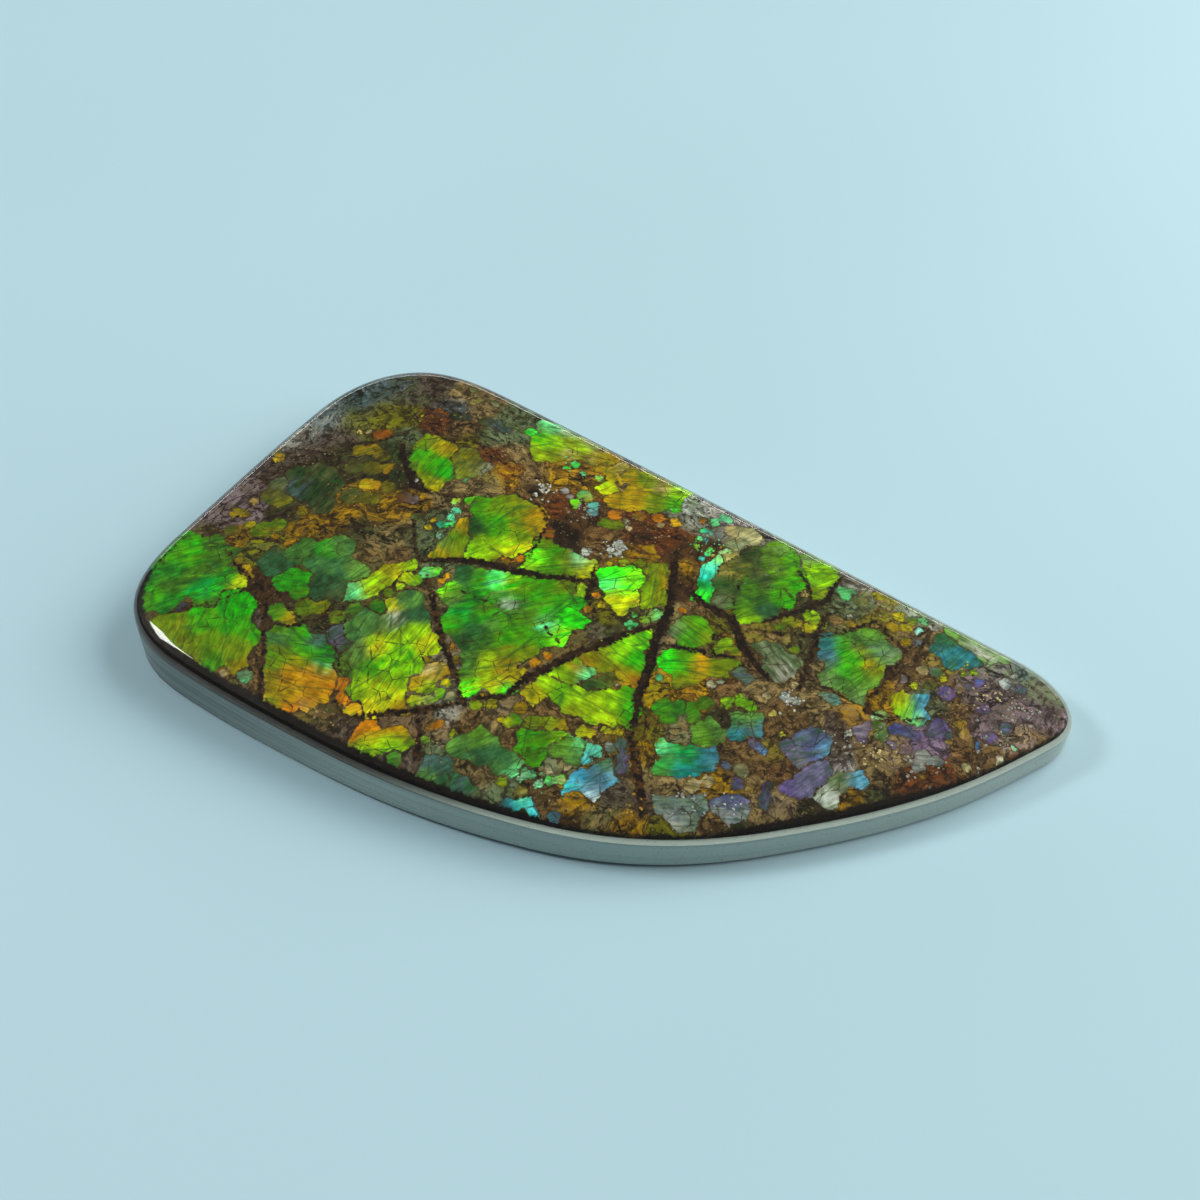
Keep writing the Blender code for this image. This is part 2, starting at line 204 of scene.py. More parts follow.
# Nacre fragments, as places on the sheet: right, beyond, reach, ground colour and streaks' colour.
# A comma stands between the places of one fragment, a semicolon between fragments, and the lean is
# that of their streaks in degrees
FRAGMENT_TABLES = (
    # Left lobes; the emerald-cyan places along the far left edge are a painted edge glint of the shoulder
    """
lean 20: -26.2 1.4 1.3 green leaf, -27.4 0.6 1 green leaf, -25.4 0.6 1 green leaf,
-24.2 1.5 0.9 leaf pine, -23.4 0.7 0.8 leaf pine, -24.2 -0.3 0.9 pine leaf, -26.6 -0.7 0.9 pine green,
-27.8 -1 0.8 pine green, -26.6 -1.7 0.9 leaf pine, -27.7 -2.6 0.9 green leaf, -26.4 -3 0.8 pine green,
-24.3 -2 1 green emerald, -25.2 -1 0.8 leaf pine, -23 -1.2 0.8 pine green, -22.3 -1.5 0.6 lime yellow,
-24 -3 0.6 leaf pine, -28.2 -0.3 0.6 green emerald
lean 0: -25.9 -3.4 0.42 deep indigo
lean 60: -26.9 2.4 0.35 emerald cyan, -27.8 1.5 0.35 emerald cyan, -28.4 0.5 0.35 emerald green
lean 75: -22.3 -3.3 1.2 green green, -22.1 -4.9 0.9 green leaf, -24.2 -4.6 1.1 leaf green,
-25.8 -5 1 leaf olive, -26.6 -5.2 0.7 olive leaf, -25.7 -6.3 0.8 olive leaf, -24.1 -6.4 1.1 leaf olive,
-22.2 -6.7 1.1 leaf olive, -23.3 -7.6 0.8 leaf green, -21.4 -5.6 0.7 leaf green,
-21.8 -7.9 0.6 olive gold, -24.4 -7.8 0.6 olive gold
lean 20: -21.2 -8.8 0.45 sage mint; -22.7 -8.6 0.35 sand cream; -21.9 -9.5 0.4 olive sand
lean 60: -22.5 0.2 0.35 olive gold, -22 -0.5 0.4 gold yellow, -21.7 -1.2 0.3 gold olive
    """,
    # Teal ground and the green blob in it
    """
lean 40: -19.9 -0.3 0.9 teal deep, -18.6 1 0.9 pine jade, -17 1 0.6 green jade, -16.2 1.3 0.7 jade teal,
-17.2 -0.2 0.8 teal jade, -17 -1.5 0.9 deep teal, -16.2 -0.6 0.8 teal jade, -15.2 -0.5 0.7 jade moss,
-17.3 -2.6 0.6 deep teal, -16.3 -2.2 0.6 moss teal, -20.6 0.6 0.7 teal moss
lean 0: -19.2 -1.3 1 green green, -18.2 -1.3 0.6 green green, -18.4 -2.3 0.6 green leaf
lean 20: -17.9 -3.5 0.7 leaf olive, -17 -3.5 0.6 leaf gold, -18.2 -4.1 0.4 leaf olive;
-19.6 -3.9 0.6 green leaf, -18.9 -4.4 0.5 gold yellow
lean -20: -19.2 -5.8 0.7 leaf teal, -18 -5.7 0.7 green leaf, -17.2 -6.1 0.6 teal slate,
-16.6 -7.2 0.6 green pine, -17.6 -7 0.7 leaf green, -19.4 -7.5 0.8 leaf olive, -18.2 -7.9 0.7 leaf gold,
-16.7 -8.3 0.5 leaf mint, -18.5 -8.8 0.8 gold amber, -17.2 -9 0.9 gold amber, -16.2 -9.2 0.7 amber gold,
-19.4 -9.4 0.7 olive gold, -18.6 -10.2 0.8 gold olive, -16.9 -10.2 0.8 gold amber,
-19.3 -10.7 0.5 leaf gold, -18.3 -11.2 0.5 orange amber, -17.3 -11 0.5 gold sand
lean 70: -15.3 -9.4 0.5 amber orange, -15.1 -10.5 0.5 orange amber
lean 20: -14.5 -11.4 0.45 orange yellow, -15 -11.6 0.25 yellow lime
lean 40: -15.8 -5.7 0.7 slate violet, -15.3 -6.3 0.6 moss slate
lean 15: -16 -4.3 0.5 leaf olive, -14.9 -3.7 0.5 leaf jade, -13.5 -3.4 0.5 leaf green
    """,
    # Lime cell left of the middle
    """
lean 60: -14.2 -4.6 0.9 jade teal, -14.9 -5.5 0.8 teal jade, -13 -4.9 0.7 moss jade,
-11.8 -3 0.7 teal jade, -12.7 -3.3 0.5 leaf yellow, -11.3 -4.4 0.7 teal deep, -12.5 -4.6 0.4 moss white,
-14.5 -7 0.8 moss jade, -14.9 -8.2 0.7 leaf moss, -13.4 -6.6 0.7 lime yellow, -12.4 -6.1 0.7 olive lime,
-11.3 -5.6 0.9 lime leaf, -10.6 -6.5 0.8 lime yellow, -11.7 -7 0.9 lime green, -12.6 -8 0.9 green lime,
-13.5 -8.3 0.7 green leaf, -11.2 -8.1 0.8 lime green, -12 -9.1 0.8 lime leaf, -13.6 -9.7 0.8 lime olive,
-14.5 -9.9 0.7 leaf lime, -12.5 -10.3 0.8 lime yellow, -13.3 -11 0.7 yellow lime,
-12 -11.1 0.6 olive gold
lean 20: -10.9 -9.2 0.6 olive gold, -10.2 -8.4 0.5 gold cream, -9.7 -8.7 0.5 olive gold,
-10.3 -9.8 0.5 olive lime; -10.9 -10.7 0.4 yellow lime, -10.1 -10.6 0.4 lime cream,
-9.5 -10.1 0.4 green lime; -8.9 -10.4 0.4 sage cream
lean 80: -9.15 -9.4 0.3 yellow lime; -10.45 -6.8 0.3 amber gold, -10.4 -7.6 0.3 gold olive
lean 40: -15 -2.4 0.45 jade mint, -14.2 -2.1 0.55 olive lime, -13.4 -1.5 0.55 olive lime,
-12.7 -0.7 0.55 olive yellow, -12.1 -0.3 0.4 olive lime
lean -45: -11.9 -1.2 0.45 lime yellow, -11.4 -1.4 0.45 green lime
lean 40: -12.2 -1.8 0.3 yellow lime, -12.9 -2.4 0.35 olive leaf
lean 0: -10.7 -0.8 0.45 bright mint, -10.2 -0.7 0.35 bright lime
    """,
    # Broad corner
    """
lean 0: -22.1 3.2 0.35 olive yellow; -21.3 2.8 0.65 leaf olive, -20.3 3.2 0.5 leaf olive;
-23.3 2.6 0.5 moss olive; -23.1 4.2 0.4 olive gold, -22.6 4.1 0.3 gold olive; -22.1 5.2 0.3 gold cream;
-20.4 2.15 0.25 amber gold; -19.4 1.75 0.35 gold amber
lean 80: -20.9 9.1 0.4 gold yellow, -21.2 9.8 0.35 sand cream
lean 0: -21.8 9.3 0.35 sand cream
lean 60: -19.3 6.5 0.8 deep slate, -18.3 6.1 0.9 deep deep, -18 7.7 0.8 deep moss,
-17.7 4.9 0.7 deep moss, -19.5 7.4 0.6 moss deep, -17.3 6.6 0.6 moss deep
lean 30: -21 5.7 0.7 moss olive, -20.6 6.7 0.6 moss sage, -20.2 5.2 0.6 moss olive
lean -30: -18.9 4.35 0.4 olive gold
lean 30: -15.6 9.7 0.5 olive gold, -14.8 9.8 0.5 olive gold, -14.1 9.2 0.5 olive umber
lean 40: -15.9 8.2 0.6 moss olive, -14.7 8.1 0.6 olive umber, -13.6 8 0.5 olive gold
lean 0: -14.9 6.65 0.55 gold yellow, -14.3 6.6 0.4 gold amber
lean 30: -15.8 5.7 0.7 moss olive, -14.6 5.4 0.6 olive umber, -13.6 6.4 0.5 olive umber
lean -20: -12.5 5.6 0.45 rust umber, -11.9 5.3 0.4 rust mauve
lean 0: -14.8 5.05 0.18 mauve white
lean 10: -14.4 11.1 0.5 rust amber, -14 11.2 0.4 amber rust; -15.75 11.35 0.2 cream yellow,
-15.2 11.45 0.22 cream sand
lean 0: -12.6 8.2 0.3 sage sand; -12 6.9 0.25 grey white
lean 80: -11.7 12.6 0.3 yellow gold
lean -50: -10.6 13.3 0.35 rust amber, -10.3 13 0.3 amber rust; -9.6 12.9 0.45 deep black,
-8.9 12.7 0.4 deep slate; -7.6 12.4 0.4 deep moss, -6.8 12.1 0.45 deep slate, -6.3 11.6 0.45 slate deep
lean -20: -9.4 15.4 0.45 leaf olive, -8.7 15.3 0.4 olive sage
lean -30: -8.2 14.2 0.5 olive sand, -7.3 13.9 0.5 sage sand
    """,
    # Ovals over the middle
    """
lean 60: -11.4 9.2 0.9 leaf green, -10.6 8.3 1 green leaf, -10.1 7.6 0.8 green pine,
-11.5 10.2 0.7 olive leaf, -10.7 10.1 0.6 olive yellow, -9.9 9.6 0.6 olive gold,
-11.2 7.6 0.6 olive leaf, -10.5 6.9 0.5 olive yellow, -11.6 8.4 0.6 leaf olive; -8.8 9 0.8 olive moss,
-8.2 8.2 0.8 moss olive, -8.9 7.6 0.6 olive jade, -7.6 8 0.5 moss grey
lean 10: -8.7 7 0.28 mint jade
lean 30: -7.5 5 0.7 leaf green, -6.4 4.6 0.9 leaf olive, -5.2 4.6 0.9 olive leaf, -4.3 4 0.8 olive gold,
-6.6 3.6 0.9 leaf green, -5.4 3.2 0.8 olive leaf, -7.6 2.9 0.7 pine deep, -6.2 2.6 0.8 green leaf,
-5 2.2 0.7 leaf olive, -4 2.9 0.6 gold olive, -5.9 1.7 0.7 lime yellow, -4.9 1.4 0.6 lime yellow,
-7.3 1.7 0.6 leaf lime, -7.8 1 0.5 lime green, -6.6 0.9 0.6 lime olive, -5.6 0.8 0.5 lime yellow
lean 20: -8.2 5.2 0.4 bright lime, -7.4 5.5 0.3 lime cream; -5.1 0.4 0.35 amber orange,
-5.8 0.25 0.3 gold amber
lean 80: -8.7 3 0.5 olive gold, -8.9 2 0.6 leaf olive, -9 1.2 0.5 olive leaf, -9.7 1.6 0.4 moss jade,
-9.8 0.8 0.4 leaf gold
lean 70: -9.2 5.2 0.28 bright yellow, -9.1 4.4 0.28 mint cyan, -9.4 3.8 0.28 cyan mint
lean 20: -9.9 3.2 0.32 cyan emerald, -9.3 3.3 0.28 mint bright; -10.1 2.25 0.26 mint white
lean 75: -10.8 3 0.25 yellow gold, -10.5 3.6 0.2 gold yellow
lean -60: -11.6 3.9 0.3 jade moss
lean 10: -3.6 1.6 0.5 leaf olive, -4.1 0.6 0.6 bright lime, -3 0.8 0.6 leaf green,
-2.2 0.3 0.6 leaf olive, -4.3 -0.3 0.5 lime green, -3 -0.4 0.6 leaf green, -1.7 -0.4 0.5 leaf olive,
-1.3 0.2 0.35 mint grey, -0.7 -0.3 0.3 yellow lime, -0.9 -0.9 0.35 yellow leaf
lean 0: -3.2 2.5 0.45 amber rust; -0.9 0.9 0.35 white grey; 0.7 1 0.3 grey white;
1.2 1.5 0.35 white grey; 1.1 0.8 0.3 white slate
    """,
    # Golden ground and the far edge
    """
lean -20: -4.3 6.3 0.35 mauve white, -3.8 6.3 0.3 mauve sage
lean 0: -2.3 6.1 0.28 mauve white; -1.9 5.6 0.28 mauve grey
lean 20: -1.7 5 0.45 bright lime, -1 5.8 0.4 jade mint, -0.6 5.4 0.3 yellow gold;
-0.4 4.8 0.35 sky mint, -0.5 4.2 0.35 sage sky
lean -15: -4.5 11.4 0.4 bright mint; -3.9 10.6 0.8 green lime, -3.1 10.4 0.7 lime green,
-2.1 10.3 0.7 olive lime, -1.2 10 0.6 lime olive, -3 9.5 0.6 olive leaf, -1.9 9.4 0.6 olive cream,
-0.8 9.3 0.6 olive sand, 0.3 8.8 0.6 olive gold, -4 9.6 0.6 olive lime, -3.4 11.8 0.5 jade mint,
-2.3 11.3 0.5 jade grey, -0.8 10.5 0.5 sage sand
lean 20: -2.2 8.15 0.25 bright mint, -1.6 8.45 0.28 bright mint; -1.1 7.6 0.22 mint jade;
-0.1 7.2 0.28 lime mint
lean 30: 0.5 6.5 0.5 lime yellow, 0.9 7.3 0.45 gold olive, 0.4 8.1 0.45 olive gold,
1.2 8 0.45 olive sand
lean 45: 1.4 6.8 0.22 yellow gold
lean 0: 1.9 7.4 0.6 olive gold, 3 7 0.7 olive leaf, 4 6.5 0.6 olive sand, 5 6.1 0.6 leaf lime,
2.4 6.2 0.6 olive gold, 3.6 5.6 0.6 leaf olive, 4.8 5.1 0.6 leaf green, 2.2 5 0.6 gold olive,
3.4 4.7 0.6 olive leaf, 1.2 5.2 0.6 olive gold; 0.4 3.2 0.5 leaf olive, 1.1 3.2 0.4 olive leaf;
0.9 4 0.4 amber orange; 2.5 3.9 0.4 amber gold, 3.7 3.8 0.4 amber orange, 4.8 3.4 0.35 yellow orange
lean 70: 1.6 3.5 0.25 white sand, 1.8 2.9 0.22 grey cream
lean 0: 3.8 3.2 0.22 cream sand; 3.1 1.1 0.4 gold olive, 2.5 1.2 0.3 gold amber; 3.4 0.4 0.3 gold umber
lean 60: 4.7 5.2 0.22 white grey
    """,
    # Brightest cell and its neighbours
    """
lean 10: 0.5 -0.1 0.28 gold yellow, 1.5 0.15 0.3 olive lime, 2.4 0 0.35 olive leaf
lean 15: 0.7 -0.9 0.7 bright bright, 1.8 -0.9 0.7 bright lime, 2.4 -1.4 0.5 bright lime,
0.7 -1.8 0.6 bright mint, 1.5 -2.1 0.7 lime bright, 0.9 -2.9 0.6 lime yellow, 1.8 -3 0.6 lime yellow,
1.3 -3.5 0.4 yellow lime
lean 80: 3.3 -0.6 0.6 olive leaf, 4 -1.4 0.5 olive gold, 3.2 -1.8 0.6 leaf olive,
3.6 -2.7 0.5 leaf olive, 2.9 -3.1 0.4 lime olive; -0.2 -2.6 0.28 orange amber,
0.1 -3.4 0.25 yellow gold; -0.75 -3.7 0.28 amber gold
lean 20: 1.9 -4.9 0.32 mint emerald; 3.4 -4.2 0.4 mint lime, 2.7 -4.5 0.3 lime moss;
2.1 -4.1 0.2 bright mint
lean 0: 0.7 -4.6 0.24 cream sand
    """,
    # Emerald middle
    """
lean 20: -9.2 -2.1 0.4 lime bright, -8.3 -1.2 0.7 pine teal, -7.5 -1.4 0.6 leaf green,
-6.4 -1.5 0.5 bright mint, -5.4 -1.6 0.6 green lime, -4.4 -1.7 0.7 green leaf, -3.2 -1.7 0.7 leaf green,
-2.2 -1.9 0.7 leaf olive, -8.8 -2.7 0.5 jade moss, -7.6 -2.7 0.6 green pine, -6.4 -2.6 0.6 green jade,
-5 -2.7 0.7 green leaf, -3.6 -2.9 0.6 green leaf, -2.2 -2.8 0.6 leaf green, -1.4 -3.2 0.5 green pine,
-8.3 -4 0.7 green emerald, -7.3 -4.1 0.7 green leaf, -6.4 -3.8 0.5 green leaf, -5.5 -3.3 0.4 moss white,
-8.8 -4.8 0.5 leaf green, -2 -4.1 0.7 green bright, -3 -4.1 0.5 green jade, -1.5 -4.6 0.5 bright green,
-2.4 -5.6 0.6 bright lime, -3.2 -4.9 0.5 leaf mint, -4.4 -4.4 0.6 leaf pine, -5.4 -4.6 0.7 leaf green,
-6.5 -4.8 0.6 pine jade, -7.6 -5.3 0.7 pine teal, -8.2 -6.2 0.6 pine deep, -7 -6.3 0.7 pine leaf,
-7.8 -7.4 0.6 pine jade, -5.8 -6 0.7 leaf green, -4.7 -5.9 0.7 green leaf, -3.6 -6 0.5 leaf green,
-4.4 -6.9 0.6 leaf olive, -5.6 -7 0.7 olive leaf, -6.8 -7.6 0.6 olive lime, -5.8 -8.2 0.7 olive gold,
-6.9 -8.7 0.6 lime olive, -7.7 -8.6 0.5 leaf pine, -5.2 -8.7 0.5 olive yellow,
-7.6 -9.7 0.5 bright lime, -6.3 -9.5 0.5 lime yellow, -5.7 -9.8 0.35 bright emerald
lean 45: -3.1 -7.3 0.28 amber gold, -3.9 -7.9 0.32 orange gold, -4.6 -8.5 0.3 gold yellow
lean 70: -8.7 -6.6 0.28 amber gold, -8.5 -7.6 0.28 amber olive
lean 60: -9.8 -1.5 0.22 orange gold, -9.4 -1.1 0.22 yellow orange
lean 80: -1.1 -2 0.38 lime yellow, -1.2 -2.6 0.3 lime bright
lean 45: -0.7 -1.7 0.22 orange sand
lean 5: -6.9 -10.3 0.22 yellow amber; -7.3 -11 0.38 olive lime, -6.3 -10.9 0.38 olive yellow
lean 0: -4.7 -11.3 0.4 olive gold
    """,
    # Under the long diagonal vein
    """
lean -35: 1.5 -6.3 0.6 lime bright, 2.6 -6.2 0.6 green lime, 1.2 -7 0.7 lime green,
1.9 -7.5 0.7 green green, 2.5 -8.2 0.5 green leaf, 0.3 -6.8 0.6 olive lime, -0.4 -7.5 0.6 olive gold,
0.4 -8 0.6 olive leaf, 1.3 -8.6 0.5 gold leaf, 2 -9.1 0.4 gold amber
lean 70: 3 -6.7 0.2 orange gold
lean -20: -2.4 -8.7 0.5 lime leaf, -1.4 -8.2 0.4 leaf gold, -0.9 -8.7 0.4 jade mint,
-1.8 -9 0.4 leaf olive
lean -25: -0.5 -9.5 0.5 pine moss, 0.3 -9.3 0.5 moss leaf, 0.6 -8.8 0.4 olive moss
lean 0: 1 -9.6 0.16 white cream
lean -30: -2.9 -9.6 0.6 lime leaf, -3.8 -10.3 0.5 olive yellow, -2.3 -10.2 0.7 leaf green,
-1.4 -10.4 0.7 lime leaf, -0.5 -10.7 0.7 olive lime, 0.6 -10.4 0.6 leaf lime, 1.5 -10.3 0.5 leaf green,
-1.4 -11.3 0.6 olive lime, -0.3 -11.6 0.7 lime olive, 0.8 -11.4 0.6 lime leaf,
1.5 -11.4 0.5 green green, 1.4 -12.2 0.4 green leaf, 0.6 -12.3 0.4 lime yellow
lean 0: 0.4 -12.85 0.3 yellow lime, 1.1 -12.9 0.3 gold yellow
    """,
    # Near rows
    """
lean 10: -14.1 -13.3 0.5 amber orange, -13.4 -12.9 0.5 amber orange, -12.2 -12.9 0.5 gold orange,
-13.4 -13.6 0.5 lime amber, -12.3 -13.7 0.6 lime green, -13.8 -14.1 0.5 lime green,
-11.5 -13.2 0.4 gold olive, -11.4 -14 0.4 leaf lime; -11.9 -14.9 0.45 green jade
lean 15: -9.4 -12.5 0.3 orange amber, -9.9 -12.65 0.22 gold amber; -8.7 -13.2 0.3 lime yellow;
-10.2 -13.6 0.3 lime jade
lean 30: -8.3 -14 0.6 jade teal, -7.7 -14.6 0.6 teal jade, -6.6 -13.2 0.5 leaf jade,
-7.3 -13.5 0.5 jade leaf, -6.2 -13.9 0.6 teal jade, -6.9 -14.7 0.7 teal deep, -5.8 -14.8 0.7 teal pine,
-5 -15 0.6 teal jade, -6 -15.5 0.5 jade teal, -4.9 -15.7 0.4 jade mint; -9.7 -15.2 0.6 slate teal,
-9 -15.6 0.6 teal slate, -9.7 -16.2 0.5 teal jade, -8.7 -16.5 0.7 teal deep, -8 -16.9 0.6 teal slate,
-7.4 -17.3 0.4 teal moss; -7.3 -17.85 0.3 cyan teal
lean 20: -4.2 -13.5 0.6 leaf green, -3.4 -13.6 0.6 leaf green, -2.6 -13.3 0.5 leaf lime,
-4.5 -14.4 0.6 green leaf, -3.7 -14.5 0.6 green leaf, -3.9 -15 0.4 leaf green
lean 0: -3.9 -12.3 0.5 olive leaf, -3 -12.4 0.5 olive lime, -2.2 -12.5 0.4 olive gold;
-5 -12.1 0.45 green lime, -5.5 -12.4 0.3 yellow lime, -5.9 -12.15 0.24 orange yellow
lean -10: -1.1 -12.9 0.38 yellow lime, -0.6 -13.1 0.28 gold yellow; -2 -13.9 0.5 leaf jade,
-1.3 -13.9 0.5 jade mint, -2.4 -14.3 0.5 jade leaf, -1.6 -14.8 0.5 jade teal
lean 60: -0.6 -14.2 0.32 mint cyan, -0.2 -14.5 0.38 sky mint, -0.8 -15 0.32 cyan sky
lean 0: 0.6 -14.1 0.35 grey slate
lean 80: 1.2 -13.9 0.4 slate teal, 1.3 -14.8 0.35 slate violet, 1.2 -15.6 0.4 slate violet
lean 20: -1.7 -17 0.4 sky cyan, -1 -16.4 0.6 ocean sky, -0.2 -16.2 0.6 slate ocean,
0.4 -15.6 0.45 slate jade, 0.4 -16.6 0.5 sky slate, -0.5 -17.1 0.4 sky white
lean 10: -4.4 -15.9 0.32 jade mint, -3.9 -16.1 0.28 mint deep, -4.6 -16.3 0.24 mint white
lean 15: -2.9 -16.55 0.28 bright mint, -2.3 -16.4 0.32 bright cream
lean 0: -3.5 -16.8 0.25 mint white; -2.9 -15.6 0.35 cream mauve; -1.9 -15.5 0.28 grey cream;
-6.7 -15.8 0.28 cream sand
lean 10: -5.4 -18.4 0.35 indigo ocean, -4.8 -18.3 0.35 cyan ocean, -4.4 -18 0.3 cyan mint,
-3.9 -18.4 0.35 cyan sky; -2.6 -19.1 0.42 slate ocean; -5.7 -16.7 0.35 olive lime;
-4.5 -17.3 0.35 olive sand
    """,
    # Glinting bars at the far edge
    """
lean 60: 6 1.4 0.24 bright lime, 6.3 2 0.24 bright mint, 6.6 2.7 0.28 bright cyan;
6.65 1.9 0.2 sky cyan, 7.05 2.5 0.2 sky mint
lean 50: 7.3 3.4 0.32 mint jade, 7.8 3.8 0.32 mint sky, 8.2 3.7 0.28 jade mint
lean 0: 7.5 2.4 0.32 slate grey
lean 45: 6.35 0.4 0.22 cyan sky, 6.75 0.75 0.2 bright mint, 6.95 1.15 0.18 bright lime
lean 65: 6.3 -2.6 0.4 bright emerald, 6.5 -1.9 0.4 emerald teal, 6.6 -0.9 0.3 cyan emerald,
7 -0.4 0.35 mint cyan, 7.4 0.4 0.26 mint lime, 7.8 1 0.22 cream mint
lean 45: 7.1 0.65 0.14 gold orange, 7.6 1.3 0.14 gold yellow
lean 80: 6.5 3.5 0.26 rust orange
lean 40: 8.6 2.6 0.5 sand sage, 9.4 2.2 0.5 sage cream, 8.4 1.6 0.5 sage sand, 8.1 0.5 0.45 olive cream
    """,
    # Right of the middle
    """
lean 20: 11.5 1.2 0.7 leaf sage, 12 0.4 0.7 leaf green, 10.6 0.4 0.8 leaf moss, 9.6 0.5 0.8 deep moss,
8.6 -0.2 0.7 moss olive, 7.9 -0.7 0.5 olive sand, 9.9 -0.9 0.7 moss pine, 11 -0.6 0.7 leaf moss,
12.2 -0.8 0.6 leaf green, 7.7 -1.6 0.7 pine moss, 10.3 -1.6 0.6 deep moss, 11.3 -2 0.7 green leaf,
12.2 -1.8 0.6 leaf green, 11.4 -2.8 0.6 green leaf, 8 -2.6 0.6 moss pine, 7.4 -2.9 0.5 moss sage,
9.2 -2 0.7 leaf pine, 9.6 -2.8 0.7 pine leaf, 8.8 -3.4 0.6 leaf pine, 10 -3.7 0.6 teal deep,
9.1 -4.3 0.4 leaf lime
lean 0: 12.7 -2.6 0.22 cream gold, 12.6 -2.2 0.18 gold cream
lean 20: 13.2 -0.4 0.6 leaf lime, 14 -0.6 0.5 leaf lime, 13.6 -1.4 0.6 green lime,
14.2 -1.4 0.4 lime leaf, 13.4 -2.4 0.5 leaf olive, 12.9 0.4 0.5 sage leaf
lean 30: 12.9 -4.3 0.5 lime leaf, 13.3 -4.9 0.5 lime olive, 12.7 -5.2 0.4 yellow olive;
11.5 -4.7 0.4 leaf olive, 10.9 -5.1 0.35 leaf olive, 12 -4.9 0.35 olive gold
lean -40: 5 -4.8 0.6 leaf sage, 5.9 -4.9 0.7 leaf green, 5.3 -5.8 0.6 leaf green,
6.3 -5.7 0.5 leaf olive, 4.5 -5.4 0.4 sage moss
lean -30: 5 -3.8 0.22 amber orange
lean 0: 7.6 -6.4 0.5 leaf lime, 8.1 -7 0.35 leaf gold, 7 -6.9 0.35 olive leaf
lean -45: 7.6 -5.85 0.2 orange rust, 8.05 -6.4 0.18 amber gold
lean 0: 4.2 -7.8 0.6 green bright, 4.9 -8.3 0.5 leaf green, 5.2 -7.5 0.4 leaf green,
6.8 -8.2 0.5 olive leaf, 7.3 -8.7 0.4 olive leaf, 6 -8 0.4 gold orange, 5.8 -8.7 0.4 olive gold,
5.1 -9.2 0.4 olive leaf, 7.8 -8 0.4 leaf olive; 8.3 -8.6 0.45 slate jade, 8.8 -9.2 0.35 slate sage
lean 80: 3.5 -9 0.26 teal mint
lean -60: 9.9 -6.7 0.5 moss sage, 10.6 -7 0.6 deep sage, 11.3 -7.6 0.6 moss sage,
10.2 -7.9 0.5 sage moss, 10.9 -8.4 0.6 moss grey; 11.6 -7 0.35 leaf olive
lean 0: 11.2 -6 0.35 sand olive, 10.5 -5.8 0.3 tan sand
    """,
    # Near rows right of the upright vein
    """
lean 10: 3.7 -11.2 0.6 green leaf, 4.6 -11.2 0.5 pine green, 4 -12 0.4 leaf green
lean 30: 5.4 -11.3 0.5 leaf green, 6.2 -10.9 0.5 leaf pine, 5.5 -12 0.4 pine leaf
lean 15: 7.5 -10.9 0.4 leaf lime, 8.3 -10.7 0.42 lime green, 8.9 -11.1 0.38 green lime
lean 0: 6.6 -9.5 0.26 white cream, 7.2 -9.3 0.22 white sand
lean 10: 5.8 -12.8 0.5 jade leaf, 6.6 -12.7 0.5 jade pine, 6 -13.3 0.5 jade leaf,
6.9 -13.2 0.4 jade moss; 8 -12.2 0.5 teal jade, 9 -12.1 0.5 teal jade, 8 -13.2 0.5 teal ocean,
9 -12.9 0.4 teal slate, 9.6 -12.9 0.28 sky ocean; 9 -13.9 0.35 violet mauve, 9.5 -14.3 0.28 blue sky;
3.6 -14.3 0.4 jade mint, 4.4 -14.5 0.5 jade emerald, 3.7 -15.4 0.5 emerald jade,
4.6 -15.4 0.5 emerald ocean, 5.4 -14.7 0.5 teal emerald, 6 -15.2 0.5 ocean teal,
6.4 -14.9 0.4 ocean slate, 5.3 -15.8 0.4 emerald ocean
lean 0: 3.35 -15.1 0.16 cream sand; 7.3 -15.4 0.3 indigo slate; 8.2 -15.8 0.45 sage sand;
7.9 -16.8 0.38 indigo slate
lean 60: 8.6 -17.1 0.24 gold sand
lean -5: 5.3 -16.9 0.4 sand cream, 6.2 -16.6 0.38 cream sand
lean 0: 3.5 -18.1 0.5 sage slate, 4.4 -18.3 0.6 slate sage, 5.4 -18.2 0.6 slate sage,
4.2 -19 0.5 slate grey, 5.2 -18.9 0.5 slate sage; 4.6 -17.6 0.2 white grey; 7 -18 0.5 indigo slate,
7.8 -18.2 0.5 slate indigo, 7.1 -18.8 0.4 slate grey, 8.1 -18.8 0.35 slate grey
lean 75: 9.6 -17 0.35 deep indigo, 9.5 -17.8 0.35 deep indigo, 9.4 -18.3 0.28 deep slate
lean 20: 11 -14.2 0.5 slate violet, 11.9 -13.7 0.6 slate indigo, 12.7 -13.7 0.5 slate indigo,
11.5 -14.8 0.5 mauve slate, 12.4 -14.5 0.5 slate indigo, 13 -14.2 0.35 slate sky
lean 30: 10.7 -13.25 0.2 yellow mint
lean 35: 11 -17.3 0.45 indigo violet, 11.8 -16.9 0.5 violet slate, 12.5 -16.3 0.5 slate violet,
12.9 -15.7 0.4 violet slate; 13.1 -17.6 0.4 sage white, 13.7 -17 0.5 sage moss,
14.2 -16.3 0.4 moss sage, 14.9 -16.6 0.35 sky slate
lean 80: 9.6 -9.8 0.22 cream grey, 9.85 -10.4 0.22 cream sage; 10.2 -11.7 0.24 cream yellow
lean 0: 11 -10.5 0.35 white slate, 11.6 -10.7 0.28 grey white; 11.6 -9.6 0.3 sand cream;
13.9 -10.7 0.4 jade sky, 13.3 -10.4 0.3 grey jade; 15.2 -13 0.42 violet grey,
15.8 -12.7 0.38 violet mauve, 15.3 -13.5 0.28 indigo violet; 14.6 -13.1 0.22 white grey
lean 40: 16.4 -12.7 0.45 sage leaf, 16.5 -13.3 0.4 sage jade
    """,
    # Towards the tip
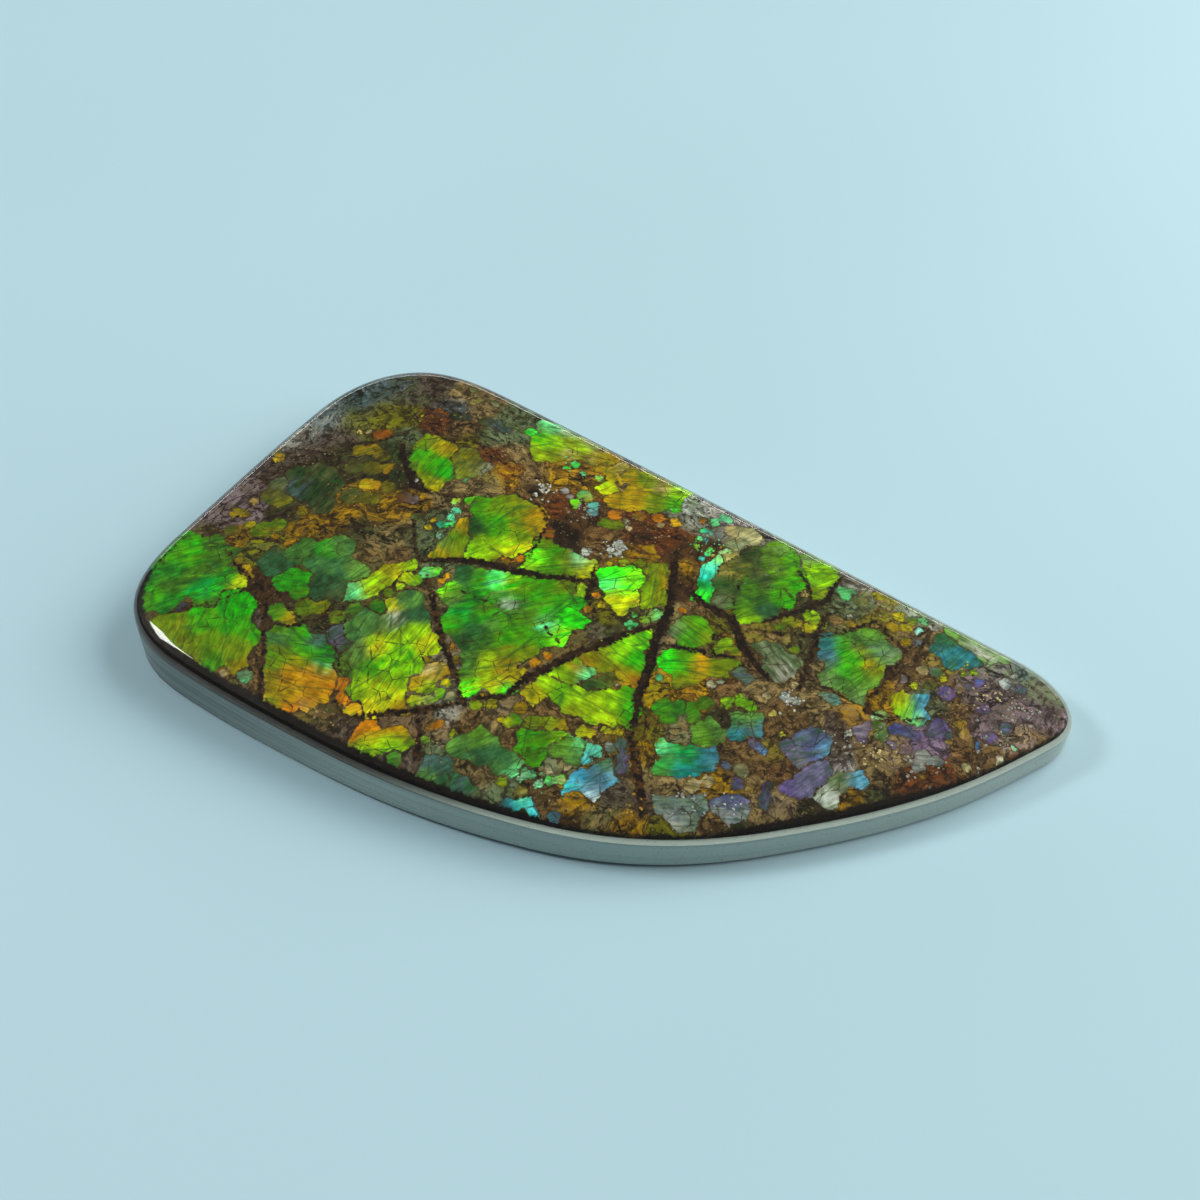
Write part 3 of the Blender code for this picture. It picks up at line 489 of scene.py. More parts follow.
    """
lean 20: 15 -2.2 0.32 mint jade, 15.2 -2.7 0.38 green mint, 15.6 -2.3 0.28 jade mint
lean 30: 16.1 -3.3 0.5 sage olive, 16.5 -2.6 0.4 sage sand
lean 0: 15.4 -4.25 0.18 white cream
lean -20: 17.3 -2.7 0.4 olive yellow, 18.1 -3 0.4 olive yellow, 17.7 -3.5 0.35 sand sage;
17.4 -4.1 0.35 olive sand, 18.4 -4.3 0.38 olive yellow
lean 15: 14.4 -4.6 0.38 tan sand, 15.3 -4.9 0.32 gold tan
lean 10: 17.9 -5.2 0.38 olive gold, 18.7 -5.2 0.38 gold yellow, 19.2 -4.7 0.32 olive jade
lean 50: 19.9 -4.7 0.28 mint jade, 19.5 -5.5 0.28 cyan white
lean 30: 18.6 -6.3 0.35 gold leaf
lean 70: 19.35 -6.4 0.3 grey slate
lean 30: 13.7 -6.4 0.6 ocean teal, 13.6 -7.3 0.5 slate ocean, 14.6 -6.6 0.5 green leaf,
15.6 -6.1 0.6 pine jade, 16.4 -5.8 0.5 jade leaf, 16.9 -7 0.6 jade slate, 17.5 -7.4 0.5 jade sage,
15.6 -7 0.3 olive sand, 15.2 -7.6 0.6 green leaf, 14.7 -8.3 0.6 green leaf, 14 -8.3 0.5 jade slate,
13.6 -9 0.5 jade sage, 15.4 -8.7 0.5 leaf green, 16.1 -8.4 0.35 gold olive, 16.6 -8.6 0.4 leaf olive,
14.6 -9.4 0.5 pine jade, 15.4 -9.6 0.5 jade leaf, 15.4 -10.4 0.4 jade sage, 16.2 -9.4 0.4 jade leaf
lean 70: 13.35 -6.8 0.16 white cream
lean 45: 21 -6.2 0.5 teal pine, 20.8 -7 0.5 teal ocean, 21.3 -7.8 0.6 ocean teal,
22 -7.4 0.5 teal ocean, 22.3 -8 0.4 teal ocean
lean -25: 21.8 -5.6 0.5 sage jade, 22.6 -6.2 0.5 jade sage, 23.4 -6.9 0.5 jade grey,
23.8 -7.6 0.5 jade grey, 24.6 -7.6 0.5 sage jade
lean 0: 20.5 -5.2 0.28 grey white
lean 15: 21.9 -8.8 0.2 leaf yellow, 22.5 -8.7 0.2 lime leaf
lean 0: 20.6 -9.2 0.2 yellow lime
lean 30: 19.4 -8.5 0.38 sand cream; 20.2 -8.6 0.38 jade slate
lean 0: 19.8 -9.6 0.32 moss olive
lean 10: 18.8 -9.6 0.24 yellow lime
lean 40: 18.1 -9.1 0.3 mauve grey
lean 20: 17.3 -9.6 0.32 tan gold
lean 80: 20.7 -10.2 0.48 violet indigo
lean 0: 21.5 -9.9 0.38 tan mauve
lean 70: 18 -10.8 0.4 yellow leaf, 18.1 -11.4 0.4 green lime, 18.7 -11.2 0.4 green teal,
19.2 -10.9 0.38 ocean sky, 19.2 -11.6 0.32 sky blue, 18.6 -11.9 0.28 lime mint
lean 20: 16.7 -11.8 0.3 lime cream, 16.3 -11.9 0.26 mint white
lean -15: 17.4 -12.9 0.4 indigo blue, 18 -13.1 0.4 indigo slate, 18.5 -13.4 0.32 violet indigo
lean 0: 17.1 -14 0.3 violet mauve; 17.9 -14.3 0.38 mauve tan
lean 30: 20 -12.7 0.5 indigo violet, 20.3 -13.3 0.45 violet indigo, 19.6 -13.2 0.38 slate violet
lean 0: 20.5 -13.75 0.22 gold sand
lean 75: 21.3 -12.5 0.35 gold sand, 21.5 -13.3 0.35 sand gold, 21.7 -13.9 0.28 tan sand
lean 70: 22.2 -14.15 0.22 blue sky
lean 0: 23 -13.5 0.4 indigo violet; 24 -12.9 0.38 indigo slate; 22.7 -9.5 0.32 blue violet,
22.2 -9.8 0.3 mauve violet; 22.8 -11.3 0.4 indigo violet
lean 60: 24.4 -9.6 0.4 slate white, 25.2 -10 0.38 slate indigo
lean 40: 24.9 -9 0.28 white grey
lean 0: 18.9 -14.9 0.5 grey slate, 19.6 -15.3 0.45 slate grey, 18.5 -15.6 0.4 grey slate;
18.1 -16.5 0.2 amber gold; 18.7 -16.2 0.22 amber gold; 17.6 -16.7 0.18 amber gold
lean 20: 19.3 -17 0.26 white sage
lean 0: 21.4 -15.6 0.3 sage cream; 22.2 -15.8 0.24 white cream; 23.4 -15.1 0.32 cream white;
25.5 -14.6 0.22 white sky
lean -50: 24.6 -14 0.38 white mint
    """,
)

# The ground between the fragments: place, reach, dark tone, light tone and lean of its striae
MATRIX_TABLE = """
-18.2 12.6 1.4 slate grey 30, -16 14.3 1.4 deep slate 30, -14 15.6 1.2 moss slate 20,
-19.8 11.2 1 taupe grey 35, -17.5 11.2 1 umber taupe 20, -16.3 12.6 1 moss olive -20,
-14.3 13.2 1.2 umber olive -25, -12.8 12.9 0.9 umber olive -30, -12.5 14.8 1 moss taupe 30,
-10.9 15.7 0.9 umber taupe -30, -9.3 15 0.8 umber sand -20, -9.8 13.8 0.8 umber slate -20,
-7.7 13.6 0.8 umber sand -30, -10.9 12.4 0.9 umber rust -60, -9 11.7 0.9 umber tan -40,
-6.9 10.9 0.8 moss sage -45, -5.7 12.6 0.9 moss sage -25, -8.6 10.7 0.7 umber olive -45,
-6.8 9.4 0.8 brown rust -50, -5.4 9.4 0.8 umber sand -40, -5.2 10.7 0.6 moss sage -30,
-6 7.6 0.8 rust gold -20, -4.2 7.6 0.8 brown sand -40, -2.6 7.4 0.9 brown gold -15,
-4.2 5.8 0.8 umber tan -50, -2.6 4.9 0.8 brown rust -30, -1.2 3.4 0.7 umber brown -40,
-2.2 2.2 0.7 black umber -50, 0.2 2.2 0.8 brown tan -10, 2.6 2.2 0.8 umber rust -5,
4.4 2.2 0.8 brown rust -5, 5.4 0.9 0.7 umber brown 80, 5.4 -0.6 0.6 brown gold 85,
5.3 -1.8 0.6 umber brown 80, 2 0.8 0.6 brown gold 0, 5.9 4.8 0.7 sage white -30,
5.7 3.6 0.6 moss grey -30, 7 5 0.6 mauve grey -30, 9 3.8 0.6 mauve grey -30, 11 2.7 0.6 sage mauve -30,
13 1.5 0.6 sage grey -30, 16 -0.9 0.8 umber grey -30, -23.9 6 1.3 taupe mauve 40,
-25.3 3.9 1.1 taupe mauve 40, -22.6 7.9 1 taupe mauve 40, -24.9 2.9 0.6 olive umber 20,
-21.3 7.8 0.7 umber taupe 40, -19 9.4 0.9 umber taupe 20, -17.2 9.1 0.8 moss umber 20,
-23 1.9 0.6 umber gold 0, -21.2 1.1 0.7 moss olive -10, -19.8 4.6 0.6 moss umber 0,
-16.3 3.9 0.9 umber gold -3, -13.6 4.4 0.9 umber gold 5, -18 3.2 0.7 umber gold -5,
-15 2.9 0.8 moss umber -5, -13.2 2.1 1 moss sand 0, -14.2 0.6 0.8 moss tan -10,
-12.6 0.7 0.7 umber tan 0, -11 1.9 0.8 moss sage 60, -13 7.6 0.7 deep umber 70,
-12.9 9.6 0.7 deep moss 80, -12.4 10.8 0.7 moss sage 0, -9.2 6.4 0.6 umber sand 5,
-7.2 6.4 0.6 umber sand -20, -6.9 7.2 0.6 olive sand 30, -21 -1.9 0.7 umber brown 60,
-20.5 -4.6 0.5 umber taupe 85, -20.5 -7.5 0.5 umber tan 85, -20.4 -9.6 0.5 brown tan 85,
-21.2 -10.2 0.6 umber sand 30, -23 -9 0.5 umber gold 30, -17.2 -5 0.6 moss umber -10,
-16.4 -12 0.9 moss tan 10, -15.2 -12.7 0.9 umber taupe 10, -17.8 -12.2 0.7 olive tan 10,
-12.3 -12.2 0.6 taupe tan 5, -10.8 -12.7 0.5 tan taupe 80, -10.9 -14.8 0.6 umber taupe 60,
-9.3 -13.4 0.5 taupe sand 20, -9.6 -14.3 0.5 sage moss 20, -7.9 -12.2 0.6 umber tan 0,
-8.5 -11.6 0.5 taupe grey 0, -6.2 -12.7 0.5 sand umber 60, -7.9 -15.5 0.5 tan moss -30,
-6.8 -16.3 0.6 umber sand -20, -6.2 -17.4 0.6 moss sage 0, -5.4 -13.6 0.5 tan umber 80,
-9.3 -17.4 0.6 black deep 0, -6.5 -18.4 0.6 umber moss -10, -4.6 -19.1 0.6 black deep 0,
-3.1 -17.9 0.7 umber tan 0, -1.4 -18.2 0.8 umber gold 0, -1.6 -19.6 0.8 umber brown 0,
0.8 -18.4 0.8 taupe moss 10, -0.6 -19.2 0.6 moss sand 0, 1.6 -19.6 0.8 brown gold 20,
0.9 -17.4 0.6 umber taupe 30, -2.5 -15.4 0.5 tan sage 0, -1.6 -12.3 0.5 umber tan -20,
-3.2 -11.3 0.5 umber tan -20, -5.6 -11 0.5 taupe sand 20, -1.3 -6.1 0.6 moss tan 20,
-0.2 -5.6 0.5 moss taupe 20, 0.4 -4.4 0.4 olive umber 20, 1 -5.2 0.5 moss umber 10,
4.4 -4.4 0.5 moss sand 60, 3.9 -6 0.4 taupe sand 30, 6.2 -3.9 0.5 umber tan -40,
7 -4.6 0.5 olive umber -40, 9.4 -5.6 0.6 tan olive -10, 9.1 -7.6 0.5 tan umber -50,
12.6 -7 0.5 moss umber 60, 9.2 -9.9 0.5 sand umber 30, 12.4 -9.3 0.6 umber sand -20,
13 -8.2 0.4 umber sand 60, 3.1 -10.2 0.5 olive gold 10, 5.4 -10.2 0.5 brown gold 0,
7.6 -9.9 0.5 brown tan 10, 7.3 -12.2 0.4 moss umber 85, 2.8 -12.8 0.6 brown olive 80,
2.7 -14.6 0.6 umber gold 80, 2.2 -16.4 0.6 umber sand 80, 2.4 -18.2 0.6 umber taupe 80,
4.6 -13.1 0.6 tan sage 0, 7.8 -14.5 0.7 umber tan 0, 10 -12.9 0.5 umber tan 85,
10.4 -15.6 0.7 brown tan 40, 10.2 -14.6 0.5 tan olive 60, 9.2 -16.2 0.5 brown sand 50,
6.8 -17.2 0.5 gold umber 0, 3.6 -17 0.5 sand umber 10, 3.3 -19.9 0.6 umber olive 0,
6.4 -19.7 0.6 umber tan 0, 9 -19.4 0.6 umber sand 10, 10.6 -18.2 0.6 taupe sand 20,
12 -18.9 0.7 deep umber 15, 8.4 -20.2 0.7 black deep 10, 14.6 -18 0.6 umber gold 20,
16 -18 0.7 black moss 20, 11.4 -12.2 0.6 umber tan 10, 12.6 -11.6 0.7 umber sand 10,
13.8 -12.4 0.6 umber taupe 20, 14.9 -11.6 0.6 tan gold 0, 14 -14.8 0.6 umber taupe 20,
15.6 -15 0.6 umber sand 20, 14.2 -15.4 0.5 mauve grey 0, 16.3 -16.2 0.7 umber sand 30,
16.9 -15.2 0.6 taupe sand 60, 17.6 -16.9 0.7 rust umber 20, 19.6 -16.3 0.7 brown rust 20,
21.4 -14.8 0.6 brown tan 10, 22.6 -15.2 0.6 umber tan 20, 24.8 -15.3 0.6 rust umber 20,
16.4 -10.6 0.6 umber gold -30, 17.6 -8.9 0.5 tan umber 50, 19 -7.8 0.5 umber tan 40,
20.2 -7.9 0.4 olive tan 40, 19.8 -5.9 0.4 sand umber 60, 19.9 -11.4 0.6 umber sage 0,
21.2 -11.5 0.7 umber tan 0, 19.5 -14.2 0.5 mauve violet 20, 22.6 -10.6 0.6 mauve taupe 20,
22.6 -12.4 0.6 umber mauve 60, 24 -11.2 0.9 taupe mauve 20, 25.6 -11.6 0.9 umber mauve 20,
24.4 -8.5 0.6 sage mauve -20, 26.4 -10.4 0.8 taupe sage -40, 25 -13.6 0.8 mauve sand 20,
26.6 -12.4 0.8 umber mauve 60, 26.2 -13.8 0.8 umber tan 20, 25.6 -8.3 0.7 sage slate -30,
27 -9.2 0.7 sage slate -50, 15.6 -3.6 0.5 moss sage 20, 16.6 -4.6 0.4 tan olive 10,
18 -2 0.6 sand grey -30, 20.2 -3.6 0.6 jade grey -30, 12.6 -3.2 0.4 moss umber 20
"""

# Pale crystals and bright flakes: middle of the patch, spread, count, size and colour
GRAIN_TABLE = """
-3.6 6.2 0.8 26 0.11 white, -1.2 4.6 0.9 22 0.1 grey, 0.9 1.1 0.7 34 0.11 white, 3.4 3 1.4 24 0.09 sand,
6.3 4.2 0.9 22 0.09 grey, 10.6 -1 1 14 0.07 sage, 5.2 -18.4 1.3 28 0.09 grey,
7.5 -18.3 0.8 16 0.08 white, 14.6 -13.9 1.3 26 0.1 grey, 18.8 -15.4 1 20 0.11 grey,
23.6 -14.4 1.4 34 0.12 grey, 25.2 -11.5 1.2 36 0.1 grey, 23.2 -10.6 1.2 26 0.09 cream,
20.4 -11.2 1.2 20 0.09 sand, 16.4 -14.4 1.1 20 0.1 cream, 11.2 -10.6 0.8 20 0.09 white,
-16 -12.2 1 20 0.09 sand, -19 9.6 1.6 20 0.07 sand, -9 13.8 1.6 26 0.08 sand, -5.6 9.8 1.4 26 0.09 sand,
-22 -9 0.9 12 0.08 sand, -9.6 -13.6 1 16 0.08 sand, -2.4 -18.4 1.4 20 0.08 sand,
1.4 -18.6 0.9 18 0.09 gold, -9.3 4.2 0.7 12 0.07 mint, 6.9 1.4 1.1 20 0.07 mint,
-3.4 -16.3 0.8 12 0.07 mint, -1.9 8.3 0.5 8 0.07 mint, 22.4 -8.6 0.8 8 0.06 yellow,
-15.2 5.2 2 16 0.06 gold
"""


def place_rows(text):
    """The numbers and colour names of every place in a table or a part of one."""
    rows = []
    for place in text.split(","):
        x, y, reach, first, second, *lean = place.split()
        rows.append((float(x), float(y), float(reach), first, second, *map(float, lean)))
    return rows


def read_fragments(table):
    """The fragments of a table, each with its lean and its places."""
    fragments = []
    for block in table.split("lean")[1:]:
        lean, places = block.split(":")
        fragments += [(float(lean), place_rows(text)) for text in places.split(";")]
    return fragments


def read_veins(table):
    """The width, brownness and course of every vein in a table."""
    veins = []
    for vein in table.split(";"):
        sizes, course = vein.split(":")
        points = [tuple(map(float, point.split())) for point in course.split(",")]
        veins.append((*map(float, sizes.split()), points))
    return veins


def read_grains(table):
    """The middle, spread, count, size and colour of every patch of grains in a table."""
    patches = []
    for patch in table.split(","):
        x, y, spread, count, size, colour = patch.split()
        patches.append((float(x), float(y), float(spread), int(count), float(size), colour))
    return patches


VEINS = read_veins(VEIN_TABLE)
GRAINS = read_grains(GRAIN_TABLE)
FRAGMENTS = [fragment for table in FRAGMENT_TABLES for fragment in read_fragments(table)]
MATRIX = place_rows(MATRIX_TABLE)


def power(name, description, default):
    return FloatProperty(
        name=name, description=description, subtype="POWER", unit="POWER", default=default
    )


def tint(name, description, colour):
    return FloatVectorProperty(
        name=name, description=description, subtype="COLOR", size=3, min=0.0, max=1.0, default=colour
    )


def length(name, description, default):
    return FloatProperty(
        name=name, description=description, subtype="DISTANCE", unit="LENGTH", precision=5,
        default=default,
    )


class PlateSettings(bpy.types.PropertyGroup):
    """Sizes of the plate's body."""

    broad_height: length("Broad end height", "Height of the shale at the broad end", 3.2 * MM)
    tip_height: length("Tip height", "Height of the shale at the tip", 1.7 * MM)
    foot_inset: length("Foot inset", "How far the bevelled foot stands in", 0.3 * MM)
    foot_height: length("Foot height", "Height of the bevel at the foot", 0.35 * MM)
    wall_lean: length("Wall lean", "How far the side leans in at the bevel", 0.08 * MM)
    bond_gap: length("Bond line", "Height from the shale's top to the cap's mouth", 0.3 * MM)
    shoulder_run: length("Shoulder run", "Width of the rounded shoulder", 1.3 * MM)
    shoulder_rise: length("Shoulder rise", "Height of the rounded shoulder", 0.95 * MM)
    dome_rise: length("Dome rise", "How much the polished top domes", 1.4 * MM)
    cap_thickness: length("Cap thickness", "Thickness of the clear cap", 0.55 * MM)
    nacre_depth: length("Nacre depth", "Depth of the nacre under the polish", 0.50 * MM)


class NacreSettings(bpy.types.PropertyGroup):
    """The mosaic's make and its colours."""

    spacing: length("Mesh spacing", "Distance between the points of the nacre's mesh", 0.24 * MM)
    waviness: length("Waviness", "How far the fragments' borders wander", 0.10 * MM)
    groove: length("Groove depth", "Depth of the seams between fragments", 0.03 * MM)
    seed: IntProperty(name="Seed", description="Seed of the crushed ground", default=7)
    emerald: tint("Emerald", "Blue-green fragments", (0.000, 0.287, 0.042))
    green: tint("Green", "Clear green fragments", (0.013, 0.305, 0.001))
    bright: tint("Bright", "Brightest green flashes", (0.032, 0.807, 0.007))
    leaf: tint("Leaf", "Leaf green", (0.076, 0.202, 0.001))
    lime: tint("Lime", "Yellow-green", (0.305, 0.578, 0.001))
    yellow: tint("Yellow", "Yellow flashes", (0.610, 0.515, 0.001))
    olive: tint("Olive", "Dull green ground", (0.162, 0.162, 0.002))
    moss: tint("Moss", "Dark dull green", (0.058, 0.068, 0.019))
    pine: tint("Pine", "Dark green", (0.016, 0.076, 0.012))
    jade: tint("Jade", "Soft blue-green", (0.089, 0.223, 0.027))
    teal: tint("Teal", "Dark blue-green", (0.023, 0.098, 0.037))
    deep: tint("Deep", "Near-black blue-green", (0.014, 0.030, 0.007))
    ocean: tint("Ocean", "Clear blue-green", (0.013, 0.162, 0.242))
    blue: tint("Blue", "Blue", (0.026, 0.091, 0.376))
    indigo: tint("Indigo", "Blue-violet", (0.065, 0.054, 0.181))
    violet: tint("Violet", "Violet", (0.133, 0.089, 0.202))
    mauve: tint("Mauve", "Grey-violet", (0.195, 0.144, 0.162))
    sky: tint("Sky", "Pale blue", (0.098, 0.392, 0.578))
    cyan: tint("Cyan", "Bright blue-green glints", (0.032, 0.658, 0.578))
    mint: tint("Mint", "Pale green glints", (0.127, 0.730, 0.283))
    sage: tint("Sage", "Grey-green", (0.127, 0.175, 0.089))
    slate: tint("Slate", "Blue-grey", (0.068, 0.107, 0.122))
    grey: tint("Grey", "Pale grey", (0.287, 0.296, 0.246))
    white: tint("White", "Pale crystal", (0.515, 0.565, 0.515))
    gold: tint("Gold", "Golden ground", (0.392, 0.223, 0.001))
    orange: tint("Orange", "Orange flashes", (0.730, 0.262, 0.001))
    amber: tint("Amber", "Brown-yellow ground", (0.332, 0.107, 0.001))
    cream: tint("Cream", "Pale grains", (0.527, 0.445, 0.195))
    sand: tint("Sand", "Sandy ground", (0.270, 0.195, 0.072))
    tan: tint("Tan", "Light brown ground", (0.195, 0.117, 0.037))
    taupe: tint("Taupe", "Grey-brown ground", (0.107, 0.080, 0.058))
    brown: tint("Brown", "Brown ground", (0.068, 0.030, 0.008))
    umber: tint("Umber", "Dark brown ground", (0.032, 0.018, 0.007))
    rust: tint("Rust", "Red-brown ground", (0.138, 0.037, 0.006))
    black: tint("Black", "Glossy dark veins", (0.008, 0.005, 0.003))


class ShaleSettings(bpy.types.PropertyGroup):
    """The shale's colours."""

    dark: tint("Dark layers", "The darker layers of the side", (0.085, 0.110, 0.105))
    # The pale colour also carries the painted light and reflection that brighten the side towards the tip
    pale: tint("Pale layers", "The paler layers of the side", (0.38, 0.46, 0.42))
    # The glossy colour also paints the dark reflection at the top band and the shade on the bevelled foot
    glossy: tint("Top", "The glossy dark top at the rim", (0.022, 0.013, 0.008))
    underside: tint("Underside", "The ground underside", (0.11, 0.12, 0.12))


class StageSettings(bpy.types.PropertyGroup):
    """The floor and the light."""

    floor: tint("Floor", "Colour of the floor", (0.50, 0.715, 0.79))
    sky: tint("Surroundings", "Colour of the surroundings", (0.75, 0.88, 0.95))
    key_power: power("Key light", "Power of the key light", 1.18)
    fill_power: power("Fill light", "Power of the fill light", 0.10)
    rim_power: power("Rim light", "Power of the low strip behind", 0.22)
    side_power: power("Side light", "Power of the small side light", 0.25)


# Plan of the plate

def turned(points, angle):
    cosine = math.cos(angle)
    sine = math.sin(angle)
    x, y = points[:, 0], points[:, 1]
    return np.stack([cosine * x - sine * y, sine * x + cosine * y], axis=1)


def headings(angles):
    """The level unit vector of each angle."""
    return np.stack([np.cos(angles), np.sin(angles), np.zeros(len(angles))], axis=1)


def bezier_outline(resolution):
    """The closed outline through its listed points, in millimetres."""
    places = np.array([(x, y) for x, y, heading in OUTLINE])
    along = headings(np.radians([heading for x, y, heading in OUTLINE]))[:, :2]
    spans = []
    for index, start in enumerate(places):
        following = (index + 1) % len(places)
        end = places[following]
        reach = np.linalg.norm(end - start) * HANDLE_REACH
        handles = (start, start + along[index] * reach, end - along[following] * reach, end)
        t = (np.arange(resolution) / resolution)[:, None]
        weights = ((1 - t) ** 3, 3 * t * (1 - t) ** 2, 3 * t**2 * (1 - t), t**3)
        spans.append(sum(weight * handle for weight, handle in zip(weights, handles)))
    return np.concatenate(spans)


def outline_and_shift():
    """The outline fitted to the frame's box, and the shift that centred it."""
    raw = bezier_outline(OUTLINE_RESOLUTION)
    middle = (raw.min(axis=0) + raw.max(axis=0)) / 2
    low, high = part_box("shale_base")
    extent = (Vector(high) - Vector(low)).to_2d() / MM
    fit = FIT * min(extent.x / np.ptp(raw[:, 0]), extent.y / np.ptp(raw[:, 1]))
    return (raw - middle) * fit, -middle


def inset(points, distance):
    """An anticlockwise outline moved into the plate by a distance."""
    along = np.roll(points, -1, axis=0) - np.roll(points, 1, axis=0)
    inward = np.stack([-along[:, 1], along[:, 0]], axis=1)
    inward /= np.linalg.norm(inward, axis=1, keepdims=True)
    return points + inward * distance


def distance_to_course(points, course):
    """The distance from each point to a course of straight steps, and how far along it lies."""
    best = np.full(len(points), np.inf)
    travelled = np.zeros(len(points))
    lengths = np.linalg.norm(np.diff(course, axis=0), axis=1)
    before = np.concatenate([[0.0], np.cumsum(lengths)])
    for index, step in enumerate(lengths):
        start = course[index]
        direction = (course[index + 1] - start) / step
        reach = np.clip((points - start) @ direction, 0.0, step)
        apart = np.linalg.norm(points - start - reach[:, None] * direction, axis=1)
        nearer = apart < best
        best[nearer] = apart[nearer]
        travelled[nearer] = before[index] + reach[nearer]
    return best, travelled / before[-1]


def reach_from_centre(points, outline):
    """0 at the dome's middle and 1 at the outline, along the ray through each point."""
    rim = outline - DOME_CENTRE
    rim_angle = np.arctan2(rim[:, 1], rim[:, 0])
    order = np.argsort(rim_angle)
    away = points - DOME_CENTRE
    angle = np.arctan2(away[:, 1], away[:, 0])
    rim_length = np.linalg.norm(rim, axis=1)[order]
    limit = np.interp(angle, rim_angle[order], rim_length, period=2 * math.pi)
    return np.linalg.norm(away, axis=1) / limit


def wall_level(x, plate):
    """Height of the shale's top in millimetres over a place along the plate."""
    fraction = (x - BROAD_END) / (TIP_END - BROAD_END)
    return (plate.broad_height + (plate.tip_height - plate.broad_height) * fraction) / MM


def laid(places, outline, shift, plate):
    """Places read off on the level sheet, carried along the line of sight onto the nacre."""
    seen = np.array(places, dtype=float)
    lean = 1 / math.tan(VIEW_ELEVATION)
    on_plan = seen
    for step in range(CARRYING_STEPS):
        points = turned(on_plan, VIEW_TURN) + np.array(VIEW_AIM) + shift
        dome = plate.dome_rise / MM * (1 - np.minimum(reach_from_centre(points, outline), 1.0) ** 2)
        crown = (plate.bond_gap + plate.shoulder_rise - plate.nacre_depth) / MM + dome
        height = wall_level(points[:, 0], plate) + crown
        on_plan = seen - np.array([0.0, 1.0]) * (
            (height - SHEET_LEVEL) * lean + SHEET_RAISE)[:, None]
    return turned(on_plan, VIEW_TURN) + np.array(VIEW_AIM) + shift


# Fragments of the mosaic

def mosaic_sites(outline, shift, plate):
    """Every place of the mosaic: where it lies, its reach, and its fragment. The ground comes last."""
    rows = [(x, y, reach, number) for number, (lean, places) in enumerate(FRAGMENTS)
            for x, y, reach, ground, streaks in places]
    rows += [(x, y, reach, len(FRAGMENTS)) for x, y, reach, dark, light, lean in MATRIX]
    table = np.array(rows, dtype=float)
    return laid(table[:, :2], outline, shift, plate), table[:, 2], table[:, 3].astype(int)


def fragment_reaches(reaches, owner):
    """How far each fragment may spread past its places: wide where it has many of them."""
    limits = np.zeros(owner.max() + 1)
    means = np.zeros(owner.max() + 1)
    for number in range(owner.max() + 1):
        own = reaches[owner == number]
        means[number] = own.mean()
        limits[number] = LARGE_REACH if len(own) >= LARGE_FRAGMENT else 0.30 * own.mean() ** 2 + 0.02
    return limits, means


def cut_back(polygon, normal, limit, neighbour):
    """A convex polygon kept where point . normal <= limit; its edges name their neighbours."""
    kept = []
    for index, (point, label) in enumerate(polygon):
        following = polygon[(index + 1) % len(polygon)][0]
        here = limit - point @ normal
        there = limit - following @ normal
        if here >= 0:
            kept.append((point, label))
        if here * there < 0:
            crossing = point + (following - point) * (here / (here - there))
            kept.append((crossing, neighbour if here > 0 else label))
    return kept


def borders(sites, reaches, owner):
    """The straight borders between unlike fragments, as pairs of points."""
    corners = [np.array(signs) * FAR_AWAY for signs in ((-1, -1), (1, -1), (1, 1), (-1, 1))]
    lines = []
    for index, site in enumerate(sites):
        apart = np.linalg.norm(sites - site, axis=1)
        polygon = [(corner, -1) for corner in corners]
        for other in np.argsort(apart)[1:1 + NEIGHBOURS]:
            normal = sites[other] - site
            limit = (sites[other] @ sites[other] - site @ site
                     - reaches[other] ** 2 + reaches[index] ** 2) / 2
            polygon = cut_back(polygon, normal, limit, int(other))
            if not polygon:
                break
        for step, (point, label) in enumerate(polygon):
            if label > index and owner[label] != owner[index]:
                lines.append((point, polygon[(step + 1) % len(polygon)][0]))
    return lines


def nearest_sites(points, sites, reaches, owner):
    """For each point: the nearest site, the distance to the border, and the power to the site."""
    nearest = np.zeros(len(points), dtype=int)
    border = np.zeros(len(points))
    powers = np.zeros(len(points))
    for start in range(0, len(points), BATCH):
        part = slice(start, start + BATCH)
        offset = points[part, None, :] - sites[None, :, :]
        power = (offset**2).sum(axis=2) - reaches**2
        own = power.argmin(axis=1)
        rows = np.arange(len(own))
        others = np.where(owner[None, :] == owner[own][:, None], np.inf, power)
        rival = others.argmin(axis=1)
        apart = np.linalg.norm(sites[own] - sites[rival], axis=1)
        nearest[part] = own
        border[part] = (others[rows, rival] - power[rows, own]) / (2 * np.maximum(apart, 0.2))
        powers[part] = power[rows, own]
    return nearest, border, powers


def stepped(start, end, spacing):
    steps = max(1, int(np.linalg.norm(end - start) / spacing))
    return [start + (end - start) * step / steps for step in range(steps + 1)]


